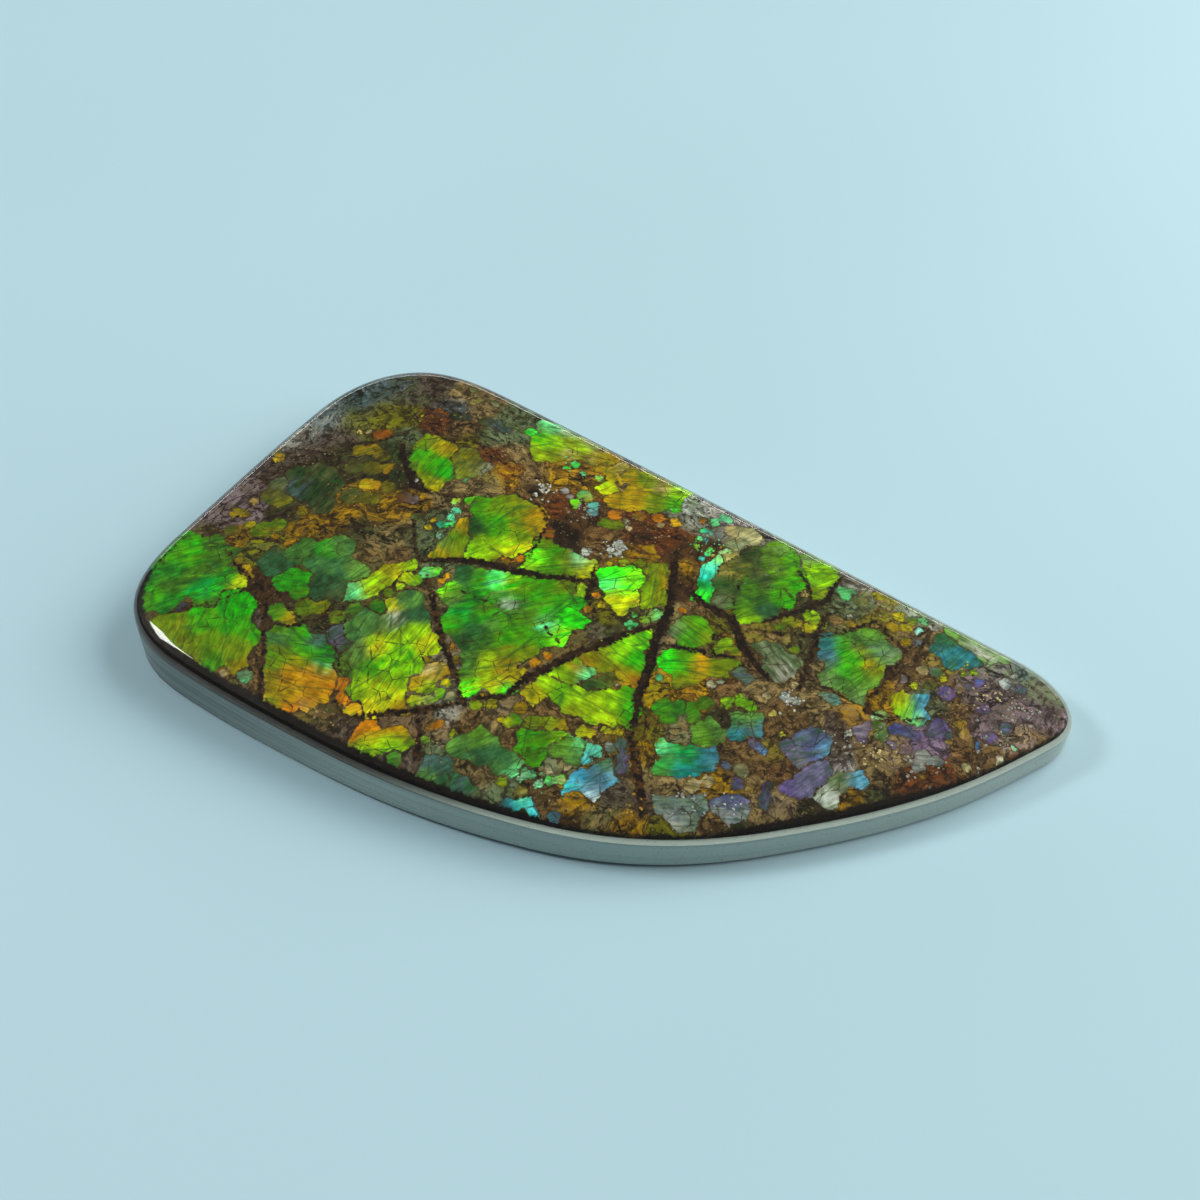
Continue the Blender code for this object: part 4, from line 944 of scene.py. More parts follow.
def sheet_triangles(edge, lines, spacing):
    """Points and triangles of the sheet inside its edge, with the borders as mesh edges."""
    points = [Vector(point) for point in edge]
    links = [(index, (index + 1) % len(edge)) for index in range(len(edge))]
    box_low = edge.min(axis=0) - 1
    box_high = edge.max(axis=0) + 1
    for start, end in lines:
        if np.any(np.maximum(start, end) < box_low) or np.any(np.minimum(start, end) > box_high):
            continue
        course = stepped(start, end, spacing)
        links += [(len(points) + step, len(points) + step + 1) for step in range(len(course) - 1)]
        points += [Vector(point) for point in course]
    row_step = spacing * math.sqrt(3) / 2
    rows = enumerate(np.arange(box_low[1], box_high[1], row_step))
    lattice = np.array([(x, y) for row, y in rows for x in np.arange(
        box_low[0] + row % 2 * spacing / 2, box_high[0], spacing)])
    inside = reach_from_centre(lattice, edge) < 1
    closed = np.vstack([edge, edge[:1]])
    apart, along = distance_to_course(lattice, closed)
    points += [Vector(point) for point in lattice[inside & (apart > spacing * 0.6)]]
    found = delaunay_2d_cdt(points, links, [], 0, 1e-4, False)
    places = np.array([point[:] for point in found[0]])
    triangles = np.array(found[2])
    centres = places[triangles].mean(axis=1)
    triangles = triangles[reach_from_centre(centres, edge) < 1]
    used, renumbered = np.unique(triangles, return_inverse=True)
    return places[used], renumbered.reshape(triangles.shape)


def wandering(places, amount):
    """A smooth pseudo-random shift for each place, for borders that aren't ruled straight."""
    noise.seed_set(WANDER_SEED)
    shifts = []
    for x, y in places:
        broad = noise.noise_vector((x * 0.9, y * 0.9, 3.1))
        fine = noise.noise_vector((x * 3.1, y * 3.1, 8.7))
        shifts.append(broad.to_2d() * amount + fine.to_2d() * amount * 0.45)
    return np.array(shifts)


def smooth_step(values, low, high):
    t = np.clip((values - low) / (high - low), 0.0, 1.0)
    return t * t * (3 - 2 * t)


def vein_field(points, outline, shift, plate):
    """How far each point is outside the nearest vein, and how brown that vein is."""
    outside = np.full(len(points), 9.0)
    brownness = np.zeros(len(points))
    for width, brown, course in VEINS:
        apart, along = distance_to_course(points, laid(course, outline, shift, plate))
        taper = 0.4 + 0.6 * np.sqrt(np.sin(np.clip(along, 0.02, 0.98) * math.pi))
        field = apart - width * 0.40 * taper
        nearer = field < outside
        outside[nearer] = field[nearer]
        brownness[nearer] = brown
    return outside, brownness


def black_edge_and_reflection_width(points, shift):
    """How wide the black edge of the nacre is at each place, read along the sheet: the dark edge, and on
    the near side painted dark reflection.
    """
    seen = turned(points - np.array(VIEW_AIM) - shift, -VIEW_TURN)
    width = np.interp(seen[:, 0], *zip(*BLACK_EDGE_AND_REFLECTION))
    far_side = seen[:, 1] > np.interp(seen[:, 0], *RIM_PARTING)
    return np.where(far_side, FAR_RIM, width)


# Meshes

def padded(values, count, rest):
    """Values with the last ones filled up to a count."""
    values = np.asarray(values)
    more = np.full((count - len(values), *values.shape[1:]), rest, dtype=values.dtype)
    return np.concatenate([values, more])


def store(mesh, name, kind, domain, values):
    field = {"FLOAT": "value", "FLOAT_VECTOR": "vector", "FLOAT_COLOR": "color"}[kind]
    attribute = mesh.attributes.new(name, kind, domain)
    attribute.data.foreach_set(field, np.ascontiguousarray(values, dtype=np.float32).ravel())


def store_padded(mesh, name, values, rest):
    """A number for each point, with the points that have none given a resting value."""
    store(mesh, name, "FLOAT", "POINT", padded(values, len(mesh.vertices), rest))


def linked(name, data):
    piece = bpy.data.objects.new(name, data)
    bpy.context.scene.collection.objects.link(piece)
    return piece


def fan(ring, middle, flip=False):
    following = np.roll(ring, -1)
    if flip:
        return [(int(b), int(a), middle) for a, b in zip(ring, following)]
    return [(int(a), int(b), middle) for a, b in zip(ring, following)]


def strip(lower, upper):
    """Quads between two rings of equal count, facing outwards when the upper ring is on top."""
    quads = zip(lower, np.roll(lower, -1), np.roll(upper, -1), upper)
    return [tuple(int(corner) for corner in quad) for quad in quads]


class DomeRings:
    """Rings of points with the measures that the polished dome is worked out from."""

    def __init__(self, outline):
        self.outline = outline
        self.places = []
        self.measures = []
        self.rings = []
        self.count = 0

    def ring(self, points, distance, reach, drop, domed=1.0):
        distance = np.full(len(points), distance)
        columns = (distance, reach, np.full(len(points), drop), np.full(len(points), domed))
        self.places.append(points)
        self.measures.append(np.stack(columns, axis=1))
        self.rings.append(np.arange(self.count, self.count + len(points)))
        self.count += len(points)

    def middle(self, distance, drop):
        self.places.append(DOME_CENTRE[None, :])
        self.measures.append(np.array([[distance, 0.0, drop, 1.0]]))
        self.count += 1
        return self.count - 1

    def shoulder_and_dome(self, start, run, drop, shoulder_rings, outwards):
        """Rings from an inset of start to the middle, added inwards or outwards."""
        sections = []
        for step in range(shoulder_rings + 1):
            distance = start + (run - start) * (step / shoulder_rings) ** 2
            points = inset(self.outline, distance)
            sections.append((points, distance, self.reach(points)))
        edge = sections[-1][0]
        for step in range(1, DOME_RINGS):
            points = DOME_CENTRE + (edge - DOME_CENTRE) * (1 - step / DOME_RINGS)
            sections.append((points, run, self.reach(points)))
        for points, distance, reach in sections[::-1] if outwards else sections:
            self.ring(points, distance, reach, drop)

    def reach(self, points):
        away = np.linalg.norm(points - DOME_CENTRE, axis=1)
        return away / np.linalg.norm(self.outline - DOME_CENTRE, axis=1)

    def mesh(self, name, faces):
        places = np.concatenate(self.places) * MM
        measures = np.concatenate(self.measures)
        mesh = bpy.data.meshes.new(name)
        mesh.from_pydata(np.column_stack([places, np.zeros(len(places))]).tolist(), [], faces)
        for column, measure in enumerate(("rim_distance", "reach", "drop")):
            scale = 1.0 if measure == "reach" else MM
            store(mesh, measure, "FLOAT", "POINT", measures[:, column] * scale)
        store(mesh, "domed", "FLOAT", "POINT", measures[:, 3])
        store(mesh, "lift", "FLOAT", "POINT", np.zeros(len(places)))
        return mesh


# Node trees

def join(tree, value, socket):
    """Link an output to a socket, or set the socket to a plain value."""
    if isinstance(value, bpy.types.NodeSocket):
        tree.links.new(value, socket)
    else:
        socket.default_value = value


def node(tree, kind, values=(), **settings):
    """A new node with its settings, and its inputs by name or number."""
    made = tree.nodes.new(kind)
    for name, value in settings.items():
        setattr(made, name, value)
    for name, value in dict(values).items():
        join(tree, value, made.inputs[name])
    return made


def maths(tree, operation, *values):
    kind = "ShaderNodeMath"
    return node(tree, kind, dict(enumerate(values)), operation=operation).outputs[0]


def plus(tree, first, second):
    return maths(tree, "ADD", first, second)


def minus(tree, first, second):
    return maths(tree, "SUBTRACT", first, second)


def times(tree, first, second):
    return maths(tree, "MULTIPLY", first, second)


def vector_maths(tree, operation, *values):
    made = node(tree, "ShaderNodeVectorMath", dict(enumerate(values)), operation=operation)
    return made.outputs["Value"] if operation == "DOT_PRODUCT" else made.outputs["Vector"]


def scaled(tree, vector, factor):
    return node(tree, "ShaderNodeVectorMath", {"Vector": vector, "Scale": factor},
                operation="SCALE").outputs["Vector"]


def ramp(tree, value, low, high, bottom=0.0, top=1.0, smooth=True):
    """A value carried from low..high to bottom..top."""
    values = {"Value": value, "From Min": low, "From Max": high, "To Min": bottom, "To Max": top}
    kind = "SMOOTHSTEP" if smooth else "LINEAR"
    return node(tree, "ShaderNodeMapRange", values, interpolation_type=kind).outputs["Result"]


def mixed(tree, factor, first, second, blend="MIX"):
    """Two colours mixed by a factor."""
    made = tree.nodes.new("ShaderNodeMix")
    made.data_type = "RGBA"
    made.blend_type = blend
    join(tree, factor, made.inputs[0])
    for value, socket in ((first, made.inputs[6]), (second, made.inputs[7])):
        join(tree, value if isinstance(value, bpy.types.NodeSocket) else (*value, 1.0), socket)
    return made.outputs[2]


def covered(tree, colour, mask, strength, over):
    """A colour with another laid over it where a mask says, at a strength."""
    return mixed(tree, times(tree, mask, strength), colour, over)


def group_tree(name, kind, inputs, outputs):
    """A node group with its sockets, and its input and output nodes."""
    tree = bpy.data.node_groups.new(name, kind)
    for in_out, sockets in (("INPUT", inputs), ("OUTPUT", outputs)):
        for label, socket_kind, default in sockets:
            socket = tree.interface.new_socket(label, in_out=in_out, socket_type=socket_kind)
            if default is not None:
                socket.default_value = default
    return tree, tree.nodes.new("NodeGroupInput"), tree.nodes.new("NodeGroupOutput")


def named(tree, attribute, kind="FLOAT"):
    made = node(tree, "GeometryNodeInputNamedAttribute", {"Name": attribute}, data_type=kind)
    return made.outputs["Attribute"]


def made_real(tree, geometry, given, result):
    """The tree closed with its instances made real and its material set."""
    real = node(tree, "GeometryNodeRealizeInstances", {"Geometry": geometry})
    painted = node(tree, "GeometryNodeSetMaterial",
                   {"Geometry": real.outputs[0], "Material": given.outputs["Material"]})
    join(tree, painted.outputs[0], result.inputs["Geometry"])
    return tree


def polished_dome_tree():
    """Geometry Nodes that raise a flat plan to the plate's shoulder and dome."""
    sizes = ("Broad Height", "Tip Height", "Bond Line", "Shoulder Run", "Shoulder Rise", "Dome Rise")
    inputs = [("Geometry", "NodeSocketGeometry", None)]
    inputs += [(size, "NodeSocketFloat", 0.001) for size in sizes]
    inputs += [("Material", "NodeSocketMaterial", None)]
    tree, given, result = group_tree(
        "polished_dome", "GeometryNodeTree", inputs, [("Geometry", "NodeSocketGeometry", None)])
    size = given.outputs
    place = node(tree, "ShaderNodeSeparateXYZ", {0: node(tree, "GeometryNodeInputPosition").outputs[0]})
    wall = ramp(tree, place.outputs["X"], BROAD_END * MM, TIP_END * MM, size["Broad Height"],
                size["Tip Height"], smooth=False)
    near = maths(tree, "DIVIDE", named(tree, "rim_distance"), size["Shoulder Run"])
    away = minus(tree, 1.0, maths(tree, "MINIMUM", near, 1.0))
    round_part = maths(tree, "SQRT", minus(tree, 1.0, maths(tree, "POWER", away, 2.0)))
    shoulder = times(tree, round_part, size["Shoulder Rise"])
    bowl = minus(tree, 1.0, maths(tree, "POWER", named(tree, "reach"), 2.0))
    dome = times(tree, bowl, size["Dome Rise"])
    crown = minus(tree, plus(tree, shoulder, dome), named(tree, "drop"))
    crown = times(tree, crown, named(tree, "domed"))
    base = plus(tree, wall, size["Bond Line"])
    height = plus(tree, plus(tree, base, crown), named(tree, "lift"))
    raised = node(tree, "ShaderNodeCombineXYZ",
                  {"X": place.outputs["X"], "Y": place.outputs["Y"], "Z": height})
    moved = node(tree, "GeometryNodeSetPosition",
                 {"Geometry": size["Geometry"], "Position": raised.outputs[0]})
    return made_real(tree, moved.outputs[0], given, result)


def crystal_tree():
    """Geometry Nodes that set a small flattened crystal on every point."""
    tree, given, result = group_tree(
        "crystal_grains", "GeometryNodeTree",
        [("Geometry", "NodeSocketGeometry", None), ("Flatness", "NodeSocketFloat", 0.4),
         ("Material", "NodeSocketMaterial", None)],
        [("Geometry", "NodeSocketGeometry", None)])
    size = given.outputs
    crystal = node(tree, "GeometryNodeMeshIcoSphere", {"Radius": 1.0, "Subdivisions": 1})
    breadth = named(tree, "grain_size")
    scale = node(tree, "ShaderNodeCombineXYZ", {
        "X": breadth, "Y": times(tree, breadth, 0.7),
        "Z": times(tree, breadth, size["Flatness"])})
    turn = node(tree, "ShaderNodeSeparateXYZ", {0: named(tree, "grain_turn", "FLOAT_VECTOR")}).outputs
    lean = node(tree, "ShaderNodeCombineXYZ", {
        "X": times(tree, turn["X"], 0.06), "Y": times(tree, turn["Y"], 0.06),
        "Z": turn["Z"]})
    strewn = node(tree, "GeometryNodeInstanceOnPoints", {
        "Points": size["Geometry"], "Instance": crystal.outputs["Mesh"],
        "Rotation": lean.outputs[0], "Scale": scale.outputs[0]})
    return made_real(tree, strewn.outputs[0], given, result)


def run_tree(piece, tree, values):
    """The piece's mesh after a Geometry Nodes tree, with the modifier taken off again."""
    modifier = piece.modifiers.new(tree.name, "NODES")
    modifier.node_group = tree
    for item in tree.interface.items_tree:
        if item.item_type == "SOCKET" and item.in_out == "INPUT" and item.name in values:
            modifier[item.identifier] = values[item.name]
    evaluated = piece.evaluated_get(bpy.context.evaluated_depsgraph_get())
    mesh = bpy.data.meshes.new_from_object(evaluated)
    piece.modifiers.remove(modifier)
    flat = piece.data
    piece.data = mesh
    bpy.data.meshes.remove(flat)
    mesh.name = piece.name
    return piece


def raise_dome(piece, plate, material):
    tree = bpy.data.node_groups.get("polished_dome") or polished_dome_tree()
    values = {
        "Broad Height": plate.broad_height, "Tip Height": plate.tip_height,
        "Bond Line": plate.bond_gap, "Shoulder Run": plate.shoulder_run,
        "Shoulder Rise": plate.shoulder_rise, "Dome Rise": plate.dome_rise, "Material": material,
    }
    return run_tree(piece, tree, values)


def close_and_smooth(piece, sharp_angle):
    """Doubles merged, faces turned outwards and shaded smooth."""
    shape = bmesh.new()
    shape.from_mesh(piece.data)
    bmesh.ops.remove_doubles(shape, verts=shape.verts, dist=1e-7)
    bmesh.ops.recalc_face_normals(shape, faces=shape.faces)
    shape.to_mesh(piece.data)
    shape.free()
    piece.data.shade_smooth()
    piece.data.set_sharp_from_angle(angle=sharp_angle)


# Shader groups

def fine_layers_group():
    """Thin layers stacked along a direction, wavy and of uneven strength."""
    tree, given, result = group_tree(
        "fine_layers", "ShaderNodeTree",
        [("Place", "NodeSocketVector", None), ("Stacked Along", "NodeSocketVector", (0, 0, 1)),
         ("Layers per mm", "NodeSocketFloat", 4.0), ("Run per mm", "NodeSocketFloat", 0.4),
         ("Chance", "NodeSocketFloat", 0.0)],
        [("Layers", "NodeSocketFloat", None), ("Breadth", "NodeSocketFloat", None),
         ("Stretched Place", "NodeSocketVector", None)])
    sockets = given.outputs
    depth = vector_maths(tree, "DOT_PRODUCT", sockets["Place"], sockets["Stacked Along"])
    spread = scaled(tree, sockets["Place"], sockets["Run per mm"])
    extra = minus(tree, sockets["Layers per mm"], sockets["Run per mm"])
    stack = scaled(tree, sockets["Stacked Along"], times(tree, depth, extra))
    place = vector_maths(tree, "ADD", spread, stack)
    shifted = vector_maths(tree, "ADD", place, node(
        tree, "ShaderNodeCombineXYZ",
        {"X": times(tree, sockets["Chance"], 57.0), "Z": sockets["Chance"]}).outputs[0])
    layers = node(tree, "ShaderNodeTexNoise", {"Vector": shifted, "Scale": 1.0, "Detail": 3.0,
                                               "Roughness": 0.6})
    broad = node(tree, "ShaderNodeTexNoise", {"Vector": scaled(tree, shifted, 0.23), "Scale": 1.0,
                                              "Detail": 1.0})
    join(tree, shifted, result.inputs["Stretched Place"])
    join(tree, ramp(tree, layers.outputs["Fac"], 0.36, 0.64), result.inputs["Layers"])
    join(tree, ramp(tree, broad.outputs["Fac"], 0.35, 0.65), result.inputs["Breadth"])
    return tree


def speckle_group():
    """Scattered light and dark grains."""
    tree, given, result = group_tree(
        "mineral_speckle", "ShaderNodeTree",
        [("Place", "NodeSocketVector", None), ("Grains per mm", "NodeSocketFloat", 6.0),
         ("Share", "NodeSocketFloat", 0.12)],
        [("Light Grains", "NodeSocketFloat", None), ("Dark Grains", "NodeSocketFloat", None),
         ("Relief", "NodeSocketFloat", None)])
    sockets = given.outputs
    cells = node(tree, "ShaderNodeTexVoronoi", {"Vector": sockets["Place"],
                                                "Scale": sockets["Grains per mm"]})
    parts = node(tree, "ShaderNodeSeparateColor", {0: cells.outputs["Color"]}).outputs
    light_limit = minus(tree, 1.0, sockets["Share"])
    light = maths(tree, "GREATER_THAN", parts[0], light_limit)
    dark = maths(tree, "LESS_THAN", parts[0], sockets["Share"])
    round_off = ramp(tree, cells.outputs["Distance"], 0.55, 0.30)
    join(tree, times(tree, light, round_off), result.inputs["Light Grains"])
    join(tree, times(tree, dark, round_off), result.inputs["Dark Grains"])
    join(tree, times(tree, parts[1], round_off), result.inputs["Relief"])
    return tree


def shared_group(name):
    builders = {"fine_layers": fine_layers_group, "mineral_speckle": speckle_group}
    return bpy.data.node_groups.get(name) or builders[name]()


def placed_group(tree, name, values):
    made = tree.nodes.new("ShaderNodeGroup")
    made.node_tree = shared_group(name)
    for label, value in values.items():
        join(tree, value, made.inputs[label])
    return made.outputs


def new_material(name):
    material = bpy.data.materials.new(name)
    material.use_nodes = True
    tree = material.node_tree
    return material, tree, tree.nodes["Principled BSDF"]


def in_millimetres(tree):
    place = node(tree, "ShaderNodeTexCoord").outputs["Object"]
    return scaled(tree, place, 1 / MM)


def noise_at(tree, place, per_mm, detail=2.0):
    return node(tree, "ShaderNodeTexNoise", {"Vector": place, "Scale": per_mm,
                                             "Detail": detail}).outputs["Fac"]


def cell_borders(tree, place, per_mm):
    """The distance to the nearest border between scattered cells."""
    cells = node(tree, "ShaderNodeTexVoronoi", {"Vector": place, "Scale": per_mm},
                 feature="DISTANCE_TO_EDGE")
    return cells.outputs["Distance"]


def attribute(tree, name):
    return node(tree, "ShaderNodeAttribute", attribute_name=name).outputs


def bump(tree, height, distance, strength=1.0):
    made = node(tree, "ShaderNodeBump", {"Height": height, "Distance": distance,
                                         "Strength": strength})
    return made.outputs["Normal"]


# Materials

def shaded(tree, colour, shade):
    """A colour made lighter or darker by a factor."""
    grey = node(tree, "ShaderNodeCombineColor", {0: shade, 1: shade, 2: shade}).outputs[0]
    return mixed(tree, 1.0, colour, grey, "MULTIPLY")


def fragment_colour(tree, place, layers, grains, nacre):
    """Streaks over each fragment's ground, with soft clouds, creases and hairline cracks."""
    clouds = ramp(tree, noise_at(tree, place, 1.1, 5.0), 0.42, 0.60)
    share = times(tree, layers["Layers"], ramp(tree, layers["Breadth"], 0.1, 0.9, 0.4, 1.0))
    share = maths(tree, "MAXIMUM", share, times(tree, clouds, 0.55))
    colour = mixed(tree, share, attribute(tree, "ground")["Color"], attribute(tree, "streaks")["Color"])
    brushed = noise_at(tree, scaled(tree, layers["Stretched Place"], 2.6), 1.0, 3.0)
    colour = shaded(tree, colour, ramp(tree, brushed, 0.34, 0.66, 0.80, 1.25))
    colour = shaded(tree, colour, ramp(tree, noise_at(tree, place, 1.6, 7.0), 0.32, 0.68, 0.68, 1.38))
    creases = cell_borders(tree, layers["Stretched Place"], 0.42)
    crease = ramp(tree, creases, 0.05, 0.0)
    colour = covered(tree, colour, crease, 0.6, nacre.pine)
    colour = covered(tree, colour, grains["Dark Grains"], 0.35, nacre.umber)
    cracks = cell_borders(tree, place, 0.80)
    wander = times(tree, minus(tree, noise_at(tree, place, 3.0), 0.5), 0.10)
    hairline = ramp(tree, plus(tree, cracks, wander), 0.030, 0.004)
    patchy = ramp(tree, noise_at(tree, place, 0.35), 0.42, 0.56)
    return mixed(tree, times(tree, hairline, times(tree, patchy, 0.8)),
                 colour, nacre.umber)


def ground_colour(tree, place, grains, nacre):
    """Striated, crumbly ground between the fragments."""
    warp = node(tree, "ShaderNodeTexNoise", {"Vector": place, "Scale": 0.7, "Detail": 3.0}).outputs["Color"]
    bent = vector_maths(tree, "ADD", place, scaled(tree, warp, 1.6))
    striae = placed_group(tree, "fine_layers", {
        "Place": bent, "Stacked Along": attribute(tree, "ground_run")["Vector"],
        "Layers per mm": 3.0, "Run per mm": 0.8, "Chance": 0.4})
    clouds = ramp(tree, noise_at(tree, bent, 1.3, 6.0), 0.38, 0.62)
    share = plus(tree, times(tree, striae["Layers"], 0.5),
                  times(tree, clouds, 0.5))
    colour = mixed(tree, share, attribute(tree, "ground_dark")["Color"],
                   attribute(tree, "ground_light")["Color"])
    crumbs = node(tree, "ShaderNodeTexVoronoi", {"Vector": striae["Stretched Place"], "Scale": 1.0})
    tone = node(tree, "ShaderNodeSeparateColor", {0: crumbs.outputs["Color"]}).outputs[0]
    colour = shaded(tree, colour, ramp(tree, tone, 0.0, 1.0, 0.62, 1.30, smooth=False))
    gaps = cell_borders(tree, striae["Stretched Place"], 0.6)
    thin = ramp(tree, gaps, 0.09, 0.0)
    some = ramp(tree, noise_at(tree, place, 0.6, 3.0), 0.42, 0.56)
    colour = covered(tree, colour, thin, some, nacre.black)
    hollows = ramp(tree, noise_at(tree, bent, 2.2, 7.0), 0.50, 0.40, 0.0, 0.75)
    colour = mixed(tree, hollows, colour, nacre.black)
    colour = covered(tree, colour, grains["Light Grains"], 0.40, nacre.sand)
    return covered(tree, colour, grains["Dark Grains"], 0.6, nacre.black)


def nacre_material(nacre):
    """Streaked fragments in a dark matrix, cut by veins, black towards the rim, partly the dark edge and
    partly painted dark reflection.
    """
    material, tree, shader = new_material("ammolite_nacre")
    place = in_millimetres(tree)
    layers = placed_group(tree, "fine_layers", {
        "Place": place, "Stacked Along": attribute(tree, "stacked")["Vector"],
        "Layers per mm": 2.6, "Run per mm": 0.5, "Chance": attribute(tree, "chance")["Fac"]})
    grains = placed_group(tree, "mineral_speckle", {
        "Place": place, "Grains per mm": 7.0, "Share": 0.09})
    rough_edge = times(tree, minus(tree, noise_at(tree, place, 3.6, 7.0), 0.5), 0.50)
    body = plus(tree, attribute(tree, "border")["Fac"], rough_edge)
    inside = ramp(tree, body, 0.0, 0.06)
    colour = mixed(tree, inside, ground_colour(tree, place, grains, nacre),
                   fragment_colour(tree, place, layers, grains, nacre))
    outline = times(tree, ramp(tree, body, -0.10, 0.0), ramp(tree, body, 0.12, 0.02))
    colour = covered(tree, colour, outline, 0.55, nacre.umber)
    vein = plus(tree, attribute(tree, "vein")["Fac"], times(tree, rough_edge, 1.5))
    colour = mixed(tree, ramp(tree, vein, 0.16, 0.0, 0.0, 0.6), colour, nacre.umber)
    patches = ramp(tree, noise_at(tree, place, 2.6, 5.0), 0.44, 0.58)
    brown = times(tree, ramp(tree, attribute(tree, "brownness")["Fac"], 0.0, 1.0, 0.15, 1.0,
                                         smooth=False), patches)
    inside_vein = ramp(tree, vein, 0.02, -0.02)
    filling = mixed(tree, brown, nacre.black, nacre.brown)
    filling = mixed(tree, times(tree, grains["Light Grains"], brown), filling, nacre.tan)
    colour = mixed(tree, inside_vein, colour, filling)
    # Black towards the rim: the dark edge, and on the near side painted dark reflection of the shoulder
    rim = plus(tree, attribute(tree, "rim")["Fac"], rough_edge)
    colour = mixed(tree, ramp(tree, rim, 0.1, -0.1), colour, nacre.black)
    join(tree, colour, shader.inputs["Base Color"])
    join(tree, ramp(tree, noise_at(tree, place, 2.6, 4.0), 0.3, 0.7, 0.3, 0.5),
         shader.inputs["Roughness"])
    join(tree, times(tree, inside, 0.12), shader.inputs["Metallic"])
    shader.inputs["Specular IOR Level"].default_value = 0.1
    relief = plus(tree, times(tree, layers["Layers"], 0.5), grains["Relief"])
    join(tree, bump(tree, relief, 0.02 * MM, 0.5), shader.inputs["Normal"])
    return material


def cap_material():
    """Clear polished quartz with fine wipe marks; its shadow lets the light through."""
    material, tree, shader = new_material("clear_cap")
    place = in_millimetres(tree)
    marks = placed_group(tree, "fine_layers", {
        "Place": place, "Stacked Along": (0.5, 0.86, 0.0), "Layers per mm": 9.0,
        "Run per mm": 0.12, "Chance": 2.0})
    join(tree, (0.97, 0.98, 0.95, 1.0), shader.inputs["Base Color"])
    join(tree, 1.0, shader.inputs["Transmission Weight"])
    join(tree, 1.5, shader.inputs["IOR"])
    join(tree, ramp(tree, marks["Layers"], 0.0, 1.0, 0.012, 0.05), shader.inputs["Roughness"])
    out = tree.nodes["Material Output"]
    passing = node(tree, "ShaderNodeBsdfTransparent", {"Color": (0.97, 0.98, 0.95, 1.0)})
    is_shadow = node(tree, "ShaderNodeLightPath").outputs["Is Shadow Ray"]
    either = node(tree, "ShaderNodeMixShader", {0: is_shadow, 1: shader.outputs[0],
                                                2: passing.outputs[0]})
    join(tree, either.outputs[0], out.inputs["Surface"])
    return material


def shale_material(shale):
    """Laminated shale: polished side, paler towards the tip by painted light and reflection, glossy dark
    top at the rim that is partly painted dark reflection, painted shade on the bevelled foot, ground
    underside.
    """
    material, tree, shader = new_material("grey_shale")
    place = in_millimetres(tree)
    layers = placed_group(tree, "fine_layers", {
        "Place": place, "Stacked Along": (0.03, 0.0, 1.0), "Layers per mm": 4.5,
        "Run per mm": 0.05, "Chance": 1.0})
    grains = placed_group(tree, "mineral_speckle", {
        "Place": place, "Grains per mm": 9.0, "Share": 0.07})
    along = node(tree, "ShaderNodeSeparateXYZ", {0: place}).outputs["X"]
    # Painted light and reflection: the side is drawn paler towards the tip, where it faces the key light
    # and mirrors the floor, on top of its layers
    paler = ramp(tree, along, -22.0, 3.0, 0.0, 0.9)
    tone = plus(tree, times(tree, layers["Layers"], 0.45), paler)
    tone = maths(tree, "MINIMUM", tone, 1.0)
    colour = mixed(tree, tone, shale.dark, shale.pale)
    colour = covered(tree, colour, grains["Dark Grains"], 0.5, shale.dark)
    band = attribute(tree, "band")["Fac"]
    # Dark top band, darker towards the broad end: the shale's own dark top, with painted dark reflection of
    # the near shoulder on top
    dark_lip_and_reflection = ramp(tree, along, -8.0, 6.0, 1.0, 0.25)
    colour = mixed(tree, times(tree, ramp(tree, band, 2.0, 2.2), dark_lip_and_reflection), colour,
                   shale.glossy)
    # Painted shade: the bevelled foot under the overhang is drawn in the glossy dark colour
    colour = mixed(tree, ramp(tree, band, 1.0, 0.75), colour, shale.glossy)
    colour = mixed(tree, ramp(tree, band, 0.2, 0.0), colour, shale.underside)
    join(tree, colour, shader.inputs["Base Color"])
    ground = ramp(tree, band, 0.6, 0.2, 0.28, 0.7)
    wear = times(tree, noise_at(tree, place, 5.0, 4.0), 0.15)
    join(tree, plus(tree, ground, wear), shader.inputs["Roughness"])
    relief = plus(tree, layers["Layers"], grains["Relief"])
    join(tree, bump(tree, relief, 0.015 * MM, 0.5), shader.inputs["Normal"])
    return material


def grain_material(nacre):
    """Small crystals and flakes in the colour stored on each of them."""
    material, tree, shader = new_material("crystal_grains")
    place = in_millimetres(tree)
    grains = placed_group(tree, "mineral_speckle", {"Place": place, "Grains per mm": 16.0,
                                                    "Share": 0.2})
    colour = shaded(tree, attribute(tree, "grain_colour")["Color"],
                    ramp(tree, noise_at(tree, place, 5.0, 3.0), 0.3, 0.7, 0.35, 1.1))
    colour = covered(tree, colour, grains["Dark Grains"], 0.4, nacre.umber)
    join(tree, colour, shader.inputs["Base Color"])
    join(tree, ramp(tree, noise_at(tree, place, 6.0), 0.3, 0.7, 0.2, 0.5), shader.inputs["Roughness"])
    return material


def floor_material(stage):
    """A plain pale floor with a barely uneven tone."""
    material, tree, shader = new_material("pale_floor")
    place = in_millimetres(tree)
    uneven = ramp(tree, noise_at(tree, place, 0.01, 2.0), 0.3, 0.7, 0.97, 1.03)
    colour = shaded(tree, stage.floor, uneven)
    join(tree, colour, shader.inputs["Base Color"])
    join(tree, 0.6, shader.inputs["Roughness"])
    return material


# Pieces

